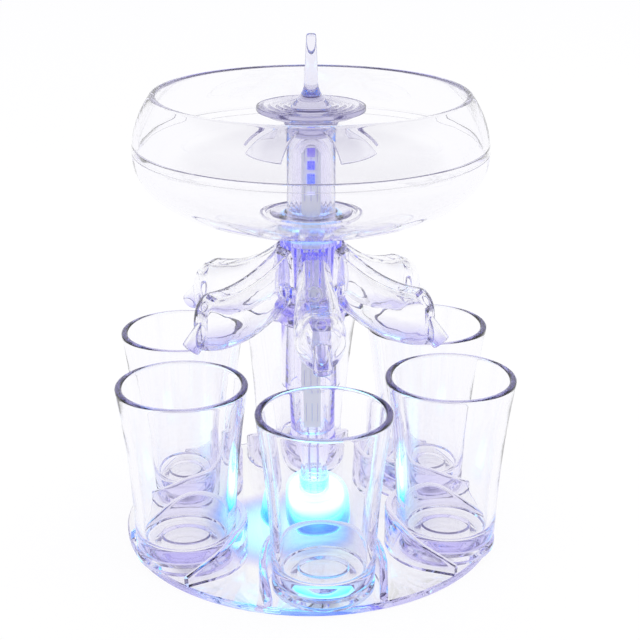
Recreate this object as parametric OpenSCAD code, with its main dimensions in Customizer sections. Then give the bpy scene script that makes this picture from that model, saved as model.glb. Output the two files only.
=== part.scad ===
// Party shot dispenser: a bowl with a lift-out stopper feeds six spouts over a ring of six
// shot glasses, on a clear base with a battery light under a central column.
// Millimetres, +Z up, origin at the middle of the base plate's underside.

/* [Base] */
// Radius of the ring that the glasses stand on
ring_r = 58.4; // [54:0.2:72]
// Direction of the first glass, seen from above
first_glass_deg = -85.4; // [-180:0.1:180]
// Distance that the plate's edge lies outside the ring of glasses
plate_past_ring = 16.1; // [15:0.1:20]
// Thickness of the base plate
plate_t = 3; // [2.4:0.1:4]
// Radius of the rounding on the plate's edge
plate_edge_r = 0.8; // [0.3:0.1:1.1]

/* [Glass holders] */
// Clear space between a glass foot and its holder wall
holder_gap = 1.7; // [1:0.1:3]
// Clear space on each side of the foot at the holder's mouth
mouth_gap = 0.4; // [0.3:0.1:1.5]
// Thickness of the holder wall
holder_wall = 3; // [2:0.1:4]
// Distance that the arms end inside the plate's edge
arm_in = 0.7; // [0.5:0.1:6]
// Height of the holder wall behind the glass, over the plate
holder_back_h = 16.8; // [10:0.1:24]
// Height of the blunt arm ends, over the plate
holder_end_h = 3.9; // [2:0.1:8]
// Slope of the wall's top edge, from the back down to the arm ends
holder_slope = 26.5; // [15:0.5:40]

/* [Shot glasses] */
// Height of a glass
glass_h = 71; // [50:0.5:90]
// Outer radius at the rim
glass_rim_r = 25; // [22:0.1:26]
// Outer radius at the foot
glass_foot_r = 19.2; // [16:0.1:20]
// Thickness of the wall at the rim
glass_rim_wall = 2.6; // [1.5:0.1:3.5]
// Thickness of the wall at the foot
glass_foot_wall = 3.2; // [2:0.1:5]
// Thickness of the solid bottom
glass_bottom_t = 9.5; // [4:0.1:14]

/* [Bowl] */
// Outer radius of the bowl at its widest
bowl_r = 66.6; // [55:0.2:80]
// Depth of the lower shell, from the widest line down to its floor's underside
bowl_low_h = 28.8; // [24:0.1:40]
// Outer radius of the boss under the bowl
boss_out_r = 19.5; // [18:0.1:24]
// Depth of the boss under the shell
boss_h = 1.6; // [1:0.1:3]
// Height of the upper ring, from the widest line up to the rim
bowl_top_h = 20.8; // [12:0.1:28]
// Vertical half axis of the upper ring's curve
bowl_top_axis = 45.5; // [36:0.1:60]
// Wall thickness of the bowl
bowl_wall = 2.4; // [1.6:0.1:3.2]
// Thickness of the bowl's floor
bowl_floor_t = 2; // [1.5:0.1:4]
// Height of the lap joint between the two shells
lap_h = 2.6; // [1.5:0.1:5]

/* [Column] */
// Outer radius of the post that stands on the base
post_r = 9.8; // [8.5:0.1:9.9]
// Wall of the post
post_wall = 1.6; // [1:0.1:2]
// Radial clearance between the post and the sleeve of the head
sleeve_gap = 0.3; // [0.2:0.05:0.5]
// Wall of the sleeve
sleeve_wall = 1.5; // [1:0.1:2]
// Length of the sleeve
sleeve_l = 31; // [20:0.5:45]
// Outer radius of the light tube that stands in the post
light_tube_r = 5.4; // [4.6:0.1:5.6]
// Wall of the light tube
light_tube_wall = 0.9; // [0.6:0.1:1.2]

/* [Spouts] */
// Height of the hub's floor over the rims of the glasses
hub_over_rim = 18; // [14:0.1:26]
// Height of the hub
hub_h = 32.8; // [28:0.1:40]
// Outer radius of the hub
hub_r = 11.9; // [11.6:0.1:13]
// Clear height between the spouts' lowest line and the glass rims
pour_gap = 10.8; // [8:0.1:14]
// Greatest half width of a spout
spout_half_w = 9.5; // [8:0.1:11]
// Half width of the flat strip along a spout's ridge and down its nose
strip_half_w = 4; // [3.4:0.1:5]
// Wall of a spout
spout_wall = 1.5; // [1:0.1:2]
// Distance that a nozzle's mouth lies inside the ring of glasses
nozzle_in = 4; // [0:0.1:8]
// Outer radius of a nozzle
nozzle_r = 3.6; // [2.8:0.1:4]
// Radius of a nozzle's bore
nozzle_bore_r = 2.4; // [1.5:0.1:2.6]
// Slope of a nozzle below the horizontal
nozzle_deg = 48; // [35:1:60]

/* [Stopper] */
// Outer radius of the sleeve that slides over the chimney
valve_r = 9.2; // [9:0.1:9.6]
// Radius of the sleeve's foot
valve_foot_r = 16; // [13:0.1:20]
// Radius of the splash leaves
guard_r = 25.5; // [18:0.1:30]
// Depth of the splash leaves from collar to tip
guard_drop = 7.3; // [4:0.1:10]
// Radius of the ripple disc
disc_r = 20.4; // [14:0.1:26]
// Height of the lifting pin over the disc
pin_h = 17.6; // [10:0.1:30]

/* [Hidden] */

$fn = 96;
GLASSES = 6;
STEP_DEG = 360 / GLASSES;
CLEAR = [0.93, 0.93, 0.99, 0.45];
LILAC = [0.86, 0.84, 0.98, 0.5];
SILICONE = [0.85, 0.86, 0.9, 0.7];

// Heights, from the table up
rim_z = plate_t + glass_h;
hub_z = rim_z + hub_over_rim;
hub_top_z = hub_z + hub_h;
keel_z = rim_z + pour_gap;
gasket_t = 0.8;
bowl_z = hub_top_z + gasket_t;
shell_z = bowl_z + boss_h;
belly_z = shell_z + bowl_low_h;
bowl_rim_z = belly_z + bowl_top_h;
seat_z = bowl_z + bowl_floor_t;

// Radii that fit one another
sleeve_r_in = post_r + sleeve_gap;
sleeve_r = sleeve_r_in + sleeve_wall;
hub_collar_r = sleeve_r + 1.6;
hub_bore_r = hub_r - 1.7;
fit = 0.05;
chimney_gap = 0.8;
chimney_r_in = light_tube_r + chimney_gap;
chimney_wall = 1.2;
chimney_r = chimney_r_in + chimney_wall;
valve_gap = 0.7;
valve_r_in = chimney_r + valve_gap;

// ---- helpers ----------------------------------------------------------------

// Points of an arc in a profile, from a0 to a1 degrees in n steps
function arc(cx, cy, r, a0, a1, n) =
    [for (i = [0:n]) let (a = a0 + (a1 - a0) * i / n) [cx + r * cos(a), cy + r * sin(a)]];

// A tube or a disc about the axis
module tube(r_out, r_in, z0, z1) {
    translate([0, 0, z0]) difference() {
        cylinder(r = r_out, h = z1 - z0);
        if (r_in > 0) translate([0, 0, -1]) cylinder(r = r_in, h = z1 - z0 + 2);
    }
}

// Turns its children to face glass i
module at_glass(i) {
    rotate([0, 0, first_glass_deg + STEP_DEG * i]) children();
}

// A closed solid through sections of equal point count, each a closed loop
module loft(sections) {
    n = len(sections[0]);
    last = len(sections) - 1;
    points = [for (s = sections) each s];
    sides = [for (k = [0:last - 1], i = [0:n - 1])
        let (a = k * n + i, b = k * n + (i + 1) % n, c = a + n, d = b + n)
        each [[a, c, b], [b, c, d]]];
    caps = [[for (i = [0:n - 1]) i], [for (i = [0:n - 1]) last * n + n - 1 - i]];
    polyhedron(points, concat(sides, caps), convexity = 6);
}

// ---- base -------------------------------------------------------------------

plate_r = ring_r + plate_past_ring;
puck_hole_r = 17.2;
holder_r = glass_foot_r + holder_gap;
holder_r_out = holder_r + holder_wall;
mouth_half = glass_foot_r + mouth_gap;
arm_end = sqrt(pow(plate_r - arm_in, 2) - pow(mouth_half + holder_wall / 2, 2)) - ring_r;
arm_chamfer = 1.2;
holder_bend_r = 24;

// Outline of a holder wall seen from above: half a ring and two arms that close in
module holder_plan() {
    difference() {
        circle(r = holder_r_out);
        circle(r = holder_r);
        translate([0, -2 * holder_r]) square([2 * holder_r, 4 * holder_r]);
    }
    for (side = [-1, 1])
        polygon([[0, side * holder_r], [arm_end, side * mouth_half],
            [arm_end, side * (mouth_half + holder_wall - arm_chamfer)],
            [arm_end - arm_chamfer, side * (mouth_half + holder_wall)],
            [0, side * holder_r_out]]);
}

// The holder wall seen from the side: level behind the glass, falling to the arm ends
module holder_side() {
    bend_x = arm_end - (holder_back_h - holder_end_h) / tan(holder_slope)
        - holder_bend_r * tan(holder_slope / 2);
    polygon(concat([[arm_end + 1, -1], [-holder_r_out - 1, -1], [-holder_r_out - 1, holder_back_h]],
        arc(bend_x, holder_back_h - holder_bend_r, holder_bend_r, 90, 90 - holder_slope, 3),
        [[arm_end + 1, holder_end_h - tan(holder_slope)]]));
}

module holder() {
    translate([ring_r, 0, plate_t]) intersection() {
        translate([0, 0, -1]) linear_extrude(holder_back_h + 2) holder_plan();
        rotate([90, 0, 0]) translate([0, 0, -50]) linear_extrude(100) holder_side();
    }
}

// Base plate with the six holders, one moulding
module base_tray() {
    color(CLEAR) {
        rotate_extrude()
            polygon(concat([[puck_hole_r, plate_t], [puck_hole_r, 0]],
                arc(plate_r - plate_edge_r, plate_edge_r, plate_edge_r, -90, 0, 4),
                arc(plate_r - plate_edge_r, plate_t - plate_edge_r, plate_edge_r, 0, 90, 4)));
        for (i = [0:GLASSES - 1]) at_glass(i) holder();
    }
}

// ---- light in the base --------------------------------------------------------

dome_r = 20.8;
dome_top_r = 18.4;
dome_top_z = plate_t + 13;
dome_wall = 1.4;
dome_round = 6;
collar_r = 8;
collar_top_z = dome_top_z + 5.5;
neck_r = 6.4;
neck_gap = 0.1;
case_r = puck_hole_r - 0.3;
case_flange_r = 18.4;
case_flange_t = 1.2;
case_wall = 1.4;
case_bottom_z = 0.4;
board_z = plate_t + 5;
board_t = 1;
cover_t = 1.2;
cover_z = case_bottom_z;
cell_r = 5.8;
cell_h = 5.4;
cell_ring_r = 9.2;
CELLS = 3;
CELL_STEP = 360 / CELLS;
contact_t = 0.2;
cell_z = cover_z + cover_t + contact_t;
boss_r = 2.2;
boss_ring_r = 12.9;
screw_r = 1;
screw_head_r = 1.7;
button_r = 2.1;
button_gap = 0.1;
button_flange_r = 2.9;
led_ring_r = 10;

// Clear dome over the light, with the threaded collar that takes the post
module light_dome() {
    shoulder_z = dome_top_z - dome_round;
    outer = concat([[dome_r, plate_t], [dome_top_r, shoulder_z]],
        arc(dome_top_r - dome_round, shoulder_z, dome_round, 15, 90, 6),
        [[collar_r, dome_top_z], [collar_r, collar_top_z]]);
    inner = concat([[neck_r + neck_gap, collar_top_z], [neck_r + neck_gap, dome_top_z - dome_wall]],
        arc(dome_top_r - dome_round, shoulder_z, dome_round - dome_wall, 90, 15, 6),
        [[dome_r - dome_wall, plate_t]]);
    color([0.8, 0.95, 1, 0.5]) rotate_extrude() polygon(concat(outer, inner));
}

// Frosted cap that spreads the light, on the rim of the case
module light_diffuser() {
    wall = 0.9;
    r = case_r - 0.6;
    round_r = 4;
    z0 = board_z + board_t;
    z1 = dome_top_z - dome_wall - 0.8;
    hole_r = 3.4;
    color([0.9, 1, 1, 0.8]) rotate_extrude()
        polygon(concat([[r, z0]], arc(r - round_r, z1 - round_r, round_r, 0, 90, 6),
            [[hole_r, z1], [hole_r, z1 - wall]],
            arc(r - round_r, z1 - round_r, round_r - wall, 90, 0, 6), [[r - wall, z0]]));
}

// Cup that hangs in the plate's hole and holds the cells and the board
module puck_case() {
    color([0.95, 0.95, 0.97]) {
        tube(case_r, case_r - case_wall, case_bottom_z, plate_t + 0.5);
        tube(case_flange_r, case_r - case_wall, plate_t, plate_t + case_flange_t);
        tube(case_r - 0.5, case_r - case_wall, plate_t + case_flange_t - 0.2, board_z + board_t);
        for (i = [0:CELLS - 1]) rotate([0, 0, CELL_STEP * (i + 0.5)]) difference() {
            union() {
                translate([boss_ring_r, 0, cover_z + cover_t]) cylinder(r = boss_r,
                    h = board_z - cover_z - cover_t);
                translate([boss_ring_r, -0.6, cover_z + cover_t])
                    cube([case_r - case_wall / 2 - boss_ring_r, 1.2, board_z - cover_z - cover_t]);
            }
            translate([boss_ring_r, 0, cover_z]) cylinder(r = screw_r + 0.05, h = 5.2);
        }
    }
}

// Round plate that closes the battery space from below
module battery_cover() {
    color([0.9, 0.9, 0.93]) difference() {
        tube(case_r - case_wall - 0.15, button_r + button_gap, cover_z, cover_z + cover_t);
        for (i = [0:CELLS - 1]) rotate([0, 0, CELL_STEP * (i + 0.5)])
            translate([boss_ring_r, 0, 0]) {
                cylinder(r = screw_r + 0.15, h = 5);
                cylinder(r = screw_head_r + 0.15, h = cover_z + 0.6);
            }
    }
}

// Three pan-head screws of the battery cover
module cover_screws() {
    color([0.6, 0.6, 0.62]) for (i = [0:CELLS - 1]) rotate([0, 0, CELL_STEP * (i + 0.5)])
        translate([boss_ring_r, 0, cover_z]) difference() {
            union() {
                cylinder(r = screw_head_r, h = 0.6);
                cylinder(r = screw_r, h = 5);
            }
            for (a = [0, 90]) rotate([0, 0, a]) translate([-1.1, -0.2, -0.5]) cube([2.2, 0.4, 0.8]);
        }
}

// Three button cells, each a can with a smaller cap under it
module button_cells() {
    color([0.75, 0.76, 0.78]) for (i = [0:CELLS - 1]) rotate([0, 0, CELL_STEP * i])
        translate([cell_ring_r, 0, cell_z]) rotate_extrude()
            polygon([[0, 0], [cell_r - 0.9, 0], [cell_r - 0.9, 0.4], [cell_r - 0.3, 0.4],
                [cell_r, 0.7], [cell_r, cell_h], [0, cell_h]]);
}

// Sheet-metal ring on the cover that joins the cells from below
module cover_contact() {
    color([0.8, 0.75, 0.5]) difference() {
        tube(12.6, 5.6, cover_z + cover_t, cell_z);
        for (i = [0:CELLS - 1]) rotate([0, 0, CELL_STEP * (i + 0.5)])
            translate([boss_ring_r, 0, 0]) cylinder(r = boss_r + 0.4, h = 5);
    }
}

// Three contact springs under the board
module board_contacts() {
    color([0.8, 0.75, 0.5]) for (i = [0:CELLS - 1]) rotate([0, 0, CELL_STEP * i])
        translate([cell_ring_r, 0, 0]) tube(2.4, 1.4, cell_z + cell_h, board_z);
}

// Round circuit board
module led_board() {
    color([0.95, 0.97, 0.95]) tube(case_r - case_wall - 0.15, 1.6, board_z, board_z + board_t);
}

// Six light-emitting diodes on the board
module base_leds() {
    color([0.5, 0.8, 1]) for (i = [0:GLASSES - 1]) at_glass(i)
        translate([led_ring_r, 0, board_z + board_t]) {
            translate([-1.7, -1.7, 0]) cube([3.4, 3.4, 0.9]);
            translate([0, 0, 0.9]) cylinder(r = 1.2, h = 0.3);
        }
}

switch_w = 4.6;
switch_h = 3.4;
stem_r = 1;
button_z = 0.8;

// Push switch under the middle of the board
module switch_body() {
    color([0.2, 0.2, 0.22]) difference() {
        translate([-switch_w / 2, -switch_w / 2, board_z - switch_h])
            cube([switch_w, switch_w, switch_h]);
        translate([0, 0, board_z - switch_h - 1]) cylinder(r = stem_r + button_gap,
            h = switch_h);
    }
}

// Push button in the cover, held in by its flange
module switch_button() {
    flange_z = cover_z + cover_t;
    color([0.85, 0.3, 0.3]) rotate_extrude()
        polygon([[0, button_z], [button_r - 0.3, button_z], [button_r, button_z + 0.3],
            [button_r, flange_z], [button_flange_r, flange_z], [button_flange_r, flange_z + 0.6],
            [stem_r, flange_z + 0.6], [stem_r, board_z - switch_h + 0.6],
            [0, board_z - switch_h + 0.6]]);
}

// ---- column -------------------------------------------------------------------

post_cone_z = collar_top_z + 5.5;
post_foot_z = post_cone_z + 11;
post_top_z = hub_z;
neck_bore_r = 4.6;
neck_bottom_z = dome_top_z - 0.4;
stick_w = 7.4;
stick_t = 1;
stick_bottom_z = post_foot_z + 4;
stick_top_z = belly_z - 1.6;
light_tube_top_z = belly_z;

// Post: threaded neck, cone and tube, with a plug at the top round the light tube
module column_post() {
    r_in = post_r - post_wall;
    color(LILAC) rotate_extrude()
        polygon([[neck_bore_r, neck_bottom_z], [neck_r - 0.5, neck_bottom_z],
            [neck_r, neck_bottom_z + 0.6], [neck_r, post_cone_z], [post_r + 0.6, post_foot_z],
            [post_r + 0.6, post_foot_z + 1.2], [post_r, post_foot_z + 1.6], [post_r, post_top_z],
            [light_tube_r + fit, post_top_z], [light_tube_r + fit, post_top_z - 3],
            [r_in, post_top_z - 4.5], [r_in, post_foot_z + 4], [light_tube_r + fit, post_foot_z + 4],
            [light_tube_r + fit, post_foot_z + 1], [neck_bore_r, post_foot_z + 1]]);
}

// Closed tube that carries the light up through the head
module light_tube() {
    r_in = light_tube_r - light_tube_wall;
    z0 = post_foot_z + 1;
    color([0.9, 0.93, 1, 0.4]) rotate_extrude()
        polygon(concat([[r_in, z0], [light_tube_r, z0]],
            arc(0, light_tube_top_z - light_tube_r, light_tube_r, 0, 90, 6),
            arc(0, light_tube_top_z - light_tube_r, r_in, 90, 0, 6)));
}

// Narrow circuit board of the light
module stick_board() {
    color([0.93, 0.95, 0.98]) translate([-stick_w / 2, -stick_t / 2, stick_bottom_z])
        cube([stick_w, stick_t, stick_top_z - light_tube_r - stick_bottom_z + 2]);
}

STICK_LEDS = [2.5, 7, 11.5];

// Diodes on the front of the narrow board, each as far below the board's top as listed
module stick_leds() {
    top = stick_top_z - light_tube_r + 2;
    color([0.3, 0.35, 1]) for (down = STICK_LEDS)
        translate([-1.4, -stick_t / 2 - 1.2, top - down - 1.4]) cube([2.8, 1.2, 2.8]);
}

// Two wires from the round board up the neck to the narrow one
module stick_wires() {
    color([0.8, 0.2, 0.2]) for (side = [-1, 1])
        translate([side * 2, 0, board_z + board_t])
            cylinder(r = 0.5, h = stick_bottom_z - board_z - board_t, $fn = 24);
}

// Tube of the head that slides over the post
module column_sleeve() {
    color(LILAC) tube(sleeve_r, sleeve_r_in, hub_z - sleeve_l, hub_z);
}

// ---- head ---------------------------------------------------------------------

hub_floor_t = 3;
hub_collar_l = 4;
port_z = hub_z + 9.5;
port_r = 3.3;
spigot_bore_r = 2.4;
spigot_l = 4.6;
spigot_wall = 1.2;

// Round chamber that shares the drink between the spouts
module hub() {
    color(LILAC) difference() {
        rotate_extrude()
            polygon([[light_tube_r + 0.6, hub_z], [sleeve_r + fit, hub_z],
                [sleeve_r + fit, hub_z - hub_collar_l], [hub_collar_r, hub_z - hub_collar_l],
                [hub_collar_r, hub_z + 1], [hub_r, hub_z + 2.5], [hub_r, hub_top_z],
                [hub_bore_r, hub_top_z], [hub_bore_r, hub_z + hub_floor_t],
                [light_tube_r + 0.6, hub_z + hub_floor_t]]);
        for (i = [0:GLASSES - 1]) at_glass(i) translate([hub_bore_r - 2, 0, port_z])
            rotate([0, 90, 0]) cylinder(r = port_r, h = 6);
    }
}

chimney_flange_r = hub_bore_r - 0.1;
chimney_top_z = light_tube_top_z + 2.6;

// Dry tube round the light: its flange is glued to the hub's floor
module chimney() {
    z0 = hub_z + hub_floor_t;
    color(CLEAR) rotate_extrude()
        polygon(concat([[chimney_r_in, z0], [chimney_flange_r, z0],
            [chimney_flange_r, z0 + 1.2], [chimney_r, z0 + 1.2]],
            arc(0, chimney_top_z - chimney_r, chimney_r, 0, 90, 6),
            arc(0, chimney_top_z - chimney_r, chimney_r_in, 90, 0, 6)));
}

root_r = hub_r + 0.3;
nozzle_out = 4.9;
nose_r = ring_r - nozzle_in - nozzle_out;
root_half_w = 6.3;
strip_ledge = 0.8;
nose_bow = 0.25;
nose_half_w = strip_half_w + nose_bow;
widest = 0.8;
keel_rise = 11.2;
ridge_z = keel_z + 21;
ridge_rise = 13;
nose_drop = 3;
nose_lift = 1;
STATIONS = [0, 0.12, 0.26, 0.42, 0.6, widest, 0.88, 0.94, 0.98, 1];
LEVELS = [0.03, 0.1, 0.22, 0.36, 0.5, 0.66, 0.8, 0.91, 1];
bulge = 0.5;

// Share of the way past the widest station, from 0 to 1 at the nose
function past(u) = max(0, (u - widest) / (1 - widest));
function before(u) = max(0, 1 - u / widest);
function half_w(u) = u < widest
    ? root_half_w + (spout_half_w - root_half_w) * sin(90 * u / widest)
    : nose_half_w + (spout_half_w - nose_half_w) * sqrt(1 - pow(past(u), 2));
function keel(u) = keel_z + keel_rise * pow(before(u), 2) + nose_lift * pow(past(u), 2);
function ridge(u) = ridge_z + ridge_rise * pow(before(u), 2) - nose_drop * pow(past(u), 2);

// Half width at a share t of a section's height: round below, drawn in to the strip above
function at_level(w, strip, t) = t < bulge
    ? w * pow(1 - pow(1 - t / bulge, 2.2), 1 / 2.2)
    : strip + (w - strip) * sqrt(1 - pow((t - bulge) / (1 - bulge), 2));

// One section across a spout: from the strip's one edge down to the keel and up to the other.
// The hollow's section is drawn in by inset and goes on upwards through the strip.
function section(u, inset) =
    let (hollow = inset > 0,
        x = root_r + inset + (nose_r - root_r - 2 * inset) * u,
        strip = strip_half_w - (hollow ? strip_ledge : 0),
        w = max(half_w(u) - inset, strip + nose_bow),
        z0 = keel(u) + inset, h = ridge(u) - inset - z0,
        rise = [for (t = LEVELS) [at_level(w, strip, t), z0 + h * t]],
        side = hollow ? concat(rise, [[strip, ridge(u) + inset]]) : rise)
    concat([for (i = [len(side) - 1:-1:0]) [x, -side[i][0], side[i][1]]], [[x, 0, z0]],
        [for (p = side) [x, p[0], p[1]]]);

nozzle_z = keel_z + 1.8;
nozzle_l = 10;
nozzle_round = 1;

// Nozzle along its own axis, with a rounded mouth
module nozzle_tube(r, l, round_r) {
    rotate_extrude() polygon(concat([[0, 0], [r, 0]],
        arc(r - round_r, l - round_r, round_r, 0, 90, 4), [[0, l]]));
}

module along_nozzle(back) {
    translate([ring_r - nozzle_in, 0, nozzle_z]) rotate([0, 90 + nozzle_deg, 0])
        translate([0, 0, -back]) children();
}

// Hollow petal with a spigot for the hub at its root and a nozzle under its nose
module spout(i) {
    color(CLEAR) at_glass(i) difference() {
        union() {
            loft([for (u = STATIONS) section(u, 0)]);
            translate([hub_bore_r, 0, port_z]) rotate([0, 90, 0])
                cylinder(r = port_r - fit, h = root_r - hub_bore_r + 1);
            along_nozzle(nozzle_l) nozzle_tube(nozzle_r, nozzle_l, nozzle_round);
        }
        loft([for (u = STATIONS) section(u, spout_wall)]);
        translate([hub_bore_r - 1, 0, port_z]) rotate([0, 90, 0])
            cylinder(r = spigot_bore_r, h = root_r - hub_bore_r + spout_wall + 2);
        along_nozzle(nozzle_l + 1) cylinder(r = nozzle_bore_r, h = nozzle_l + 3);
    }
}

lid_gap = 0.08;

// One section across a lid: a strip as thick as the wall, flush with the spout's ridge
function lid_section(u) =
    let (cut = spout_wall + lid_gap, w = strip_half_w - strip_ledge - lid_gap,
        x = root_r + cut + (nose_r - root_r - 2 * cut) * u, z = ridge(u))
    [[x, -w, z], [x, -w, z - spout_wall], [x, w, z - spout_wall], [x, w, z]];

module spout_lid(i) {
    color(CLEAR) at_glass(i) loft([for (u = STATIONS) lid_section(u)]);
}

// ---- bowl ---------------------------------------------------------------------

BOWL_STEPS = 22;
RING_STEPS = 12;
bowl_power = 2.32;
bowl_spigot_r = hub_bore_r - 0.1;
bowl_spigot_l = 4.6;
bowl_hole_r = bowl_spigot_r - 1.2;
sump_r = boss_out_r - bowl_floor_t;
rim_round = 1.1;

// A point of the lower shell's curve at angle a from the widest line, moved in by inset
function low_point(a, inset, drop) =
    [(bowl_r - inset) * pow(cos(a), 2 / bowl_power),
        belly_z - (bowl_low_h - drop) * pow(sin(a), 2 / bowl_power)];
function top_r(z, inset) =
    bowl_r * sqrt(1 - pow((z - belly_z) / bowl_top_axis, 2)) - inset;

// Height of the lower shell's curve at radius r
function low_z(r, inset, drop) =
    belly_z - (bowl_low_h - drop) * pow(1 - pow(r / (bowl_r - inset), bowl_power), 1 / bowl_power);

// Lower shell: dish with a sunk valve seat, outlet spigot for the hub, tongue of the lap joint
module bowl_lower() {
    lap_z = belly_z + lap_h;
    outer = [for (i = [0:BOWL_STEPS]) low_point(90 * i / BOWL_STEPS, 0, 0)];
    inner = [for (i = [BOWL_STEPS:-1:0]) low_point(90 * i / BOWL_STEPS, bowl_wall, bowl_floor_t)];
    color(CLEAR) rotate_extrude() polygon(concat(
        [[bowl_r - bowl_wall, lap_z], [bowl_r - bowl_wall / 2 - fit, lap_z],
            [bowl_r - bowl_wall / 2 - fit, belly_z]],
        [for (p = outer) if (p[0] > boss_out_r + 1) p],
        [[boss_out_r, low_z(boss_out_r, 0, 0)], [boss_out_r, bowl_z + 0.5],
            [boss_out_r - 0.5, bowl_z], [bowl_spigot_r, bowl_z],
            [bowl_spigot_r, bowl_z - bowl_spigot_l], [bowl_hole_r, bowl_z - bowl_spigot_l],
            [bowl_hole_r, seat_z], [sump_r, seat_z],
            [sump_r, low_z(sump_r, bowl_wall, bowl_floor_t)]],
        [for (p = inner) if (p[0] > sump_r + 1) p]));
}

// Upper ring: stands on the widest line and draws in to the rolled rim
module bowl_ring() {
    lap_z = belly_z + lap_h;
    join_r = bowl_r - bowl_wall / 2;
    rim_r = top_r(bowl_rim_z, 0);
    zs = [for (i = [0:RING_STEPS]) belly_z + (bowl_top_h - rim_round) * i / RING_STEPS];
    color(CLEAR) rotate_extrude() polygon(concat([[join_r, belly_z]],
        [for (z = zs) [top_r(z, 0), z]],
        arc(rim_r - rim_round + 0.1, bowl_rim_z - rim_round, rim_round, 10, 170, 6),
        [for (i = [RING_STEPS:-1:0]) if (zs[i] > lap_z + 0.5) [top_r(zs[i], bowl_wall), zs[i]]],
        [[top_r(lap_z, bowl_wall), lap_z + fit], [join_r, lap_z + fit]]));
}

// Silicone washer between the bowl and the hub
module bowl_gasket() {
    color(SILICONE) tube(hub_r - 0.1, bowl_spigot_r + 0.2, hub_top_z, bowl_z);
}

// ---- stopper ------------------------------------------------------------------

seal_t = 0.7;
foot_t = 1.4;
foot_z = seat_z + seal_t;
collar_z = chimney_top_z + 5;
guard_t = 1;
guard_collar_t = 2.2;
guard_collar_r = valve_r + 1.2;
LEAF_STARTS = [10, 125, 200, 295];
LEAF_DEG = 45;
disc_z = collar_z + 4.6;
disc_t = 4;
pin_z = disc_z + disc_t + 8.5;
pin_r_low = 2.6;
pin_r_top = 1.8;

// Silicone ring under the stopper's foot
module valve_seal() {
    color(SILICONE) tube(valve_foot_r - 1, bowl_hole_r + 0.3, seat_z, foot_z);
}

// Sleeve over the chimney: its foot closes the outlet
module valve_sleeve() {
    color(CLEAR) rotate_extrude()
        polygon(concat([[valve_r_in, foot_z], [valve_foot_r - 0.5, foot_z],
            [valve_foot_r, foot_z + foot_t / 2], [valve_foot_r - 0.5, foot_z + foot_t]],
            arc(valve_r + 1.5, foot_z + foot_t + 1.5, 1.5, -90, -180, 4),
            [[valve_r, collar_z], [valve_r_in, collar_z]]));
}

// Collar with four curved leaves that keep the drink from splashing
module splash_guard() {
    r0 = guard_collar_r - 0.6;
    reach = guard_r - r0;
    curve_r = (reach * reach + guard_drop * guard_drop) / (2 * guard_drop);
    top = collar_z - 0.3;
    tip_deg = asin(reach / curve_r);
    color(CLEAR) {
        tube(guard_collar_r, valve_r + fit, collar_z - guard_collar_t, collar_z);
        for (start = LEAF_STARTS) rotate([0, 0, start]) rotate_extrude(angle = LEAF_DEG)
            polygon(concat(arc(r0, top - curve_r, curve_r, 90, 90 - tip_deg, 8),
                arc(r0, top - curve_r, curve_r - guard_t, 90 - tip_deg, 90, 8)));
    }
}

RIPPLES = 4;

// Cap of the stopper: plug, flared collar, rippled disc, cone and lifting pin
module stopper_cap() {
    plug_r = valve_r_in - fit;
    plug_z = chimney_top_z + 1.4;
    cone_r = 6.4;
    cone_z = disc_z + disc_t + 1.2;
    ripple_in = 7.6;
    ripple_w = (disc_r - 1.2 - ripple_in) / RIPPLES;
    ripples = [for (i = [RIPPLES - 1:-1:0], k = [2:-1:0])
        [ripple_in + ripple_w * (i + (k + 0.5) / 3), disc_z + disc_t + (k == 1 ? 0.35 : -0.05)]];
    neck = [for (i = [0:6]) let (s = i / 6)
        [pin_r_low + (cone_r - pin_r_low) * pow(1 - s, 2.2), cone_z + (pin_z - cone_z) * s]];
    color([0.9, 0.88, 0.97, 0.5]) rotate_extrude() polygon(concat(
        [[0, plug_z], [plug_r - 0.4, plug_z], [plug_r, plug_z + 0.4], [plug_r, collar_z],
            [valve_r, collar_z], [valve_r + 1.1, collar_z + 2.2], [valve_r - 0.8, collar_z + 3],
            [valve_r - 0.8, disc_z], [disc_r - 3.6, disc_z + 0.3], [disc_r - 0.4, disc_z + 1.8],
            [disc_r, disc_z + 2.3]],
        arc(disc_r - 1, disc_z + disc_t - 1, 1, 0, 90, 3),
        ripples, neck,
        arc(0, pin_z + pin_h - pin_r_top, pin_r_top, 0, 90, 5)));
}

// ---- shot glasses ---------------------------------------------------------------

GLASS_STEPS = 14;
foot_groove_z = 5.2;
foot_groove = 0.6;
foot_hollow_r = 13;
foot_hollow_h = 1.2;
floor_corner = 4;

// Outer radius of a glass at height h over its foot
function glass_out(h) = glass_foot_r + (glass_rim_r - glass_foot_r) * pow(h / glass_h, 2);
function glass_in(h) = glass_out(h) - glass_foot_wall
    + (glass_foot_wall - glass_rim_wall) * h / glass_h;

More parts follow.
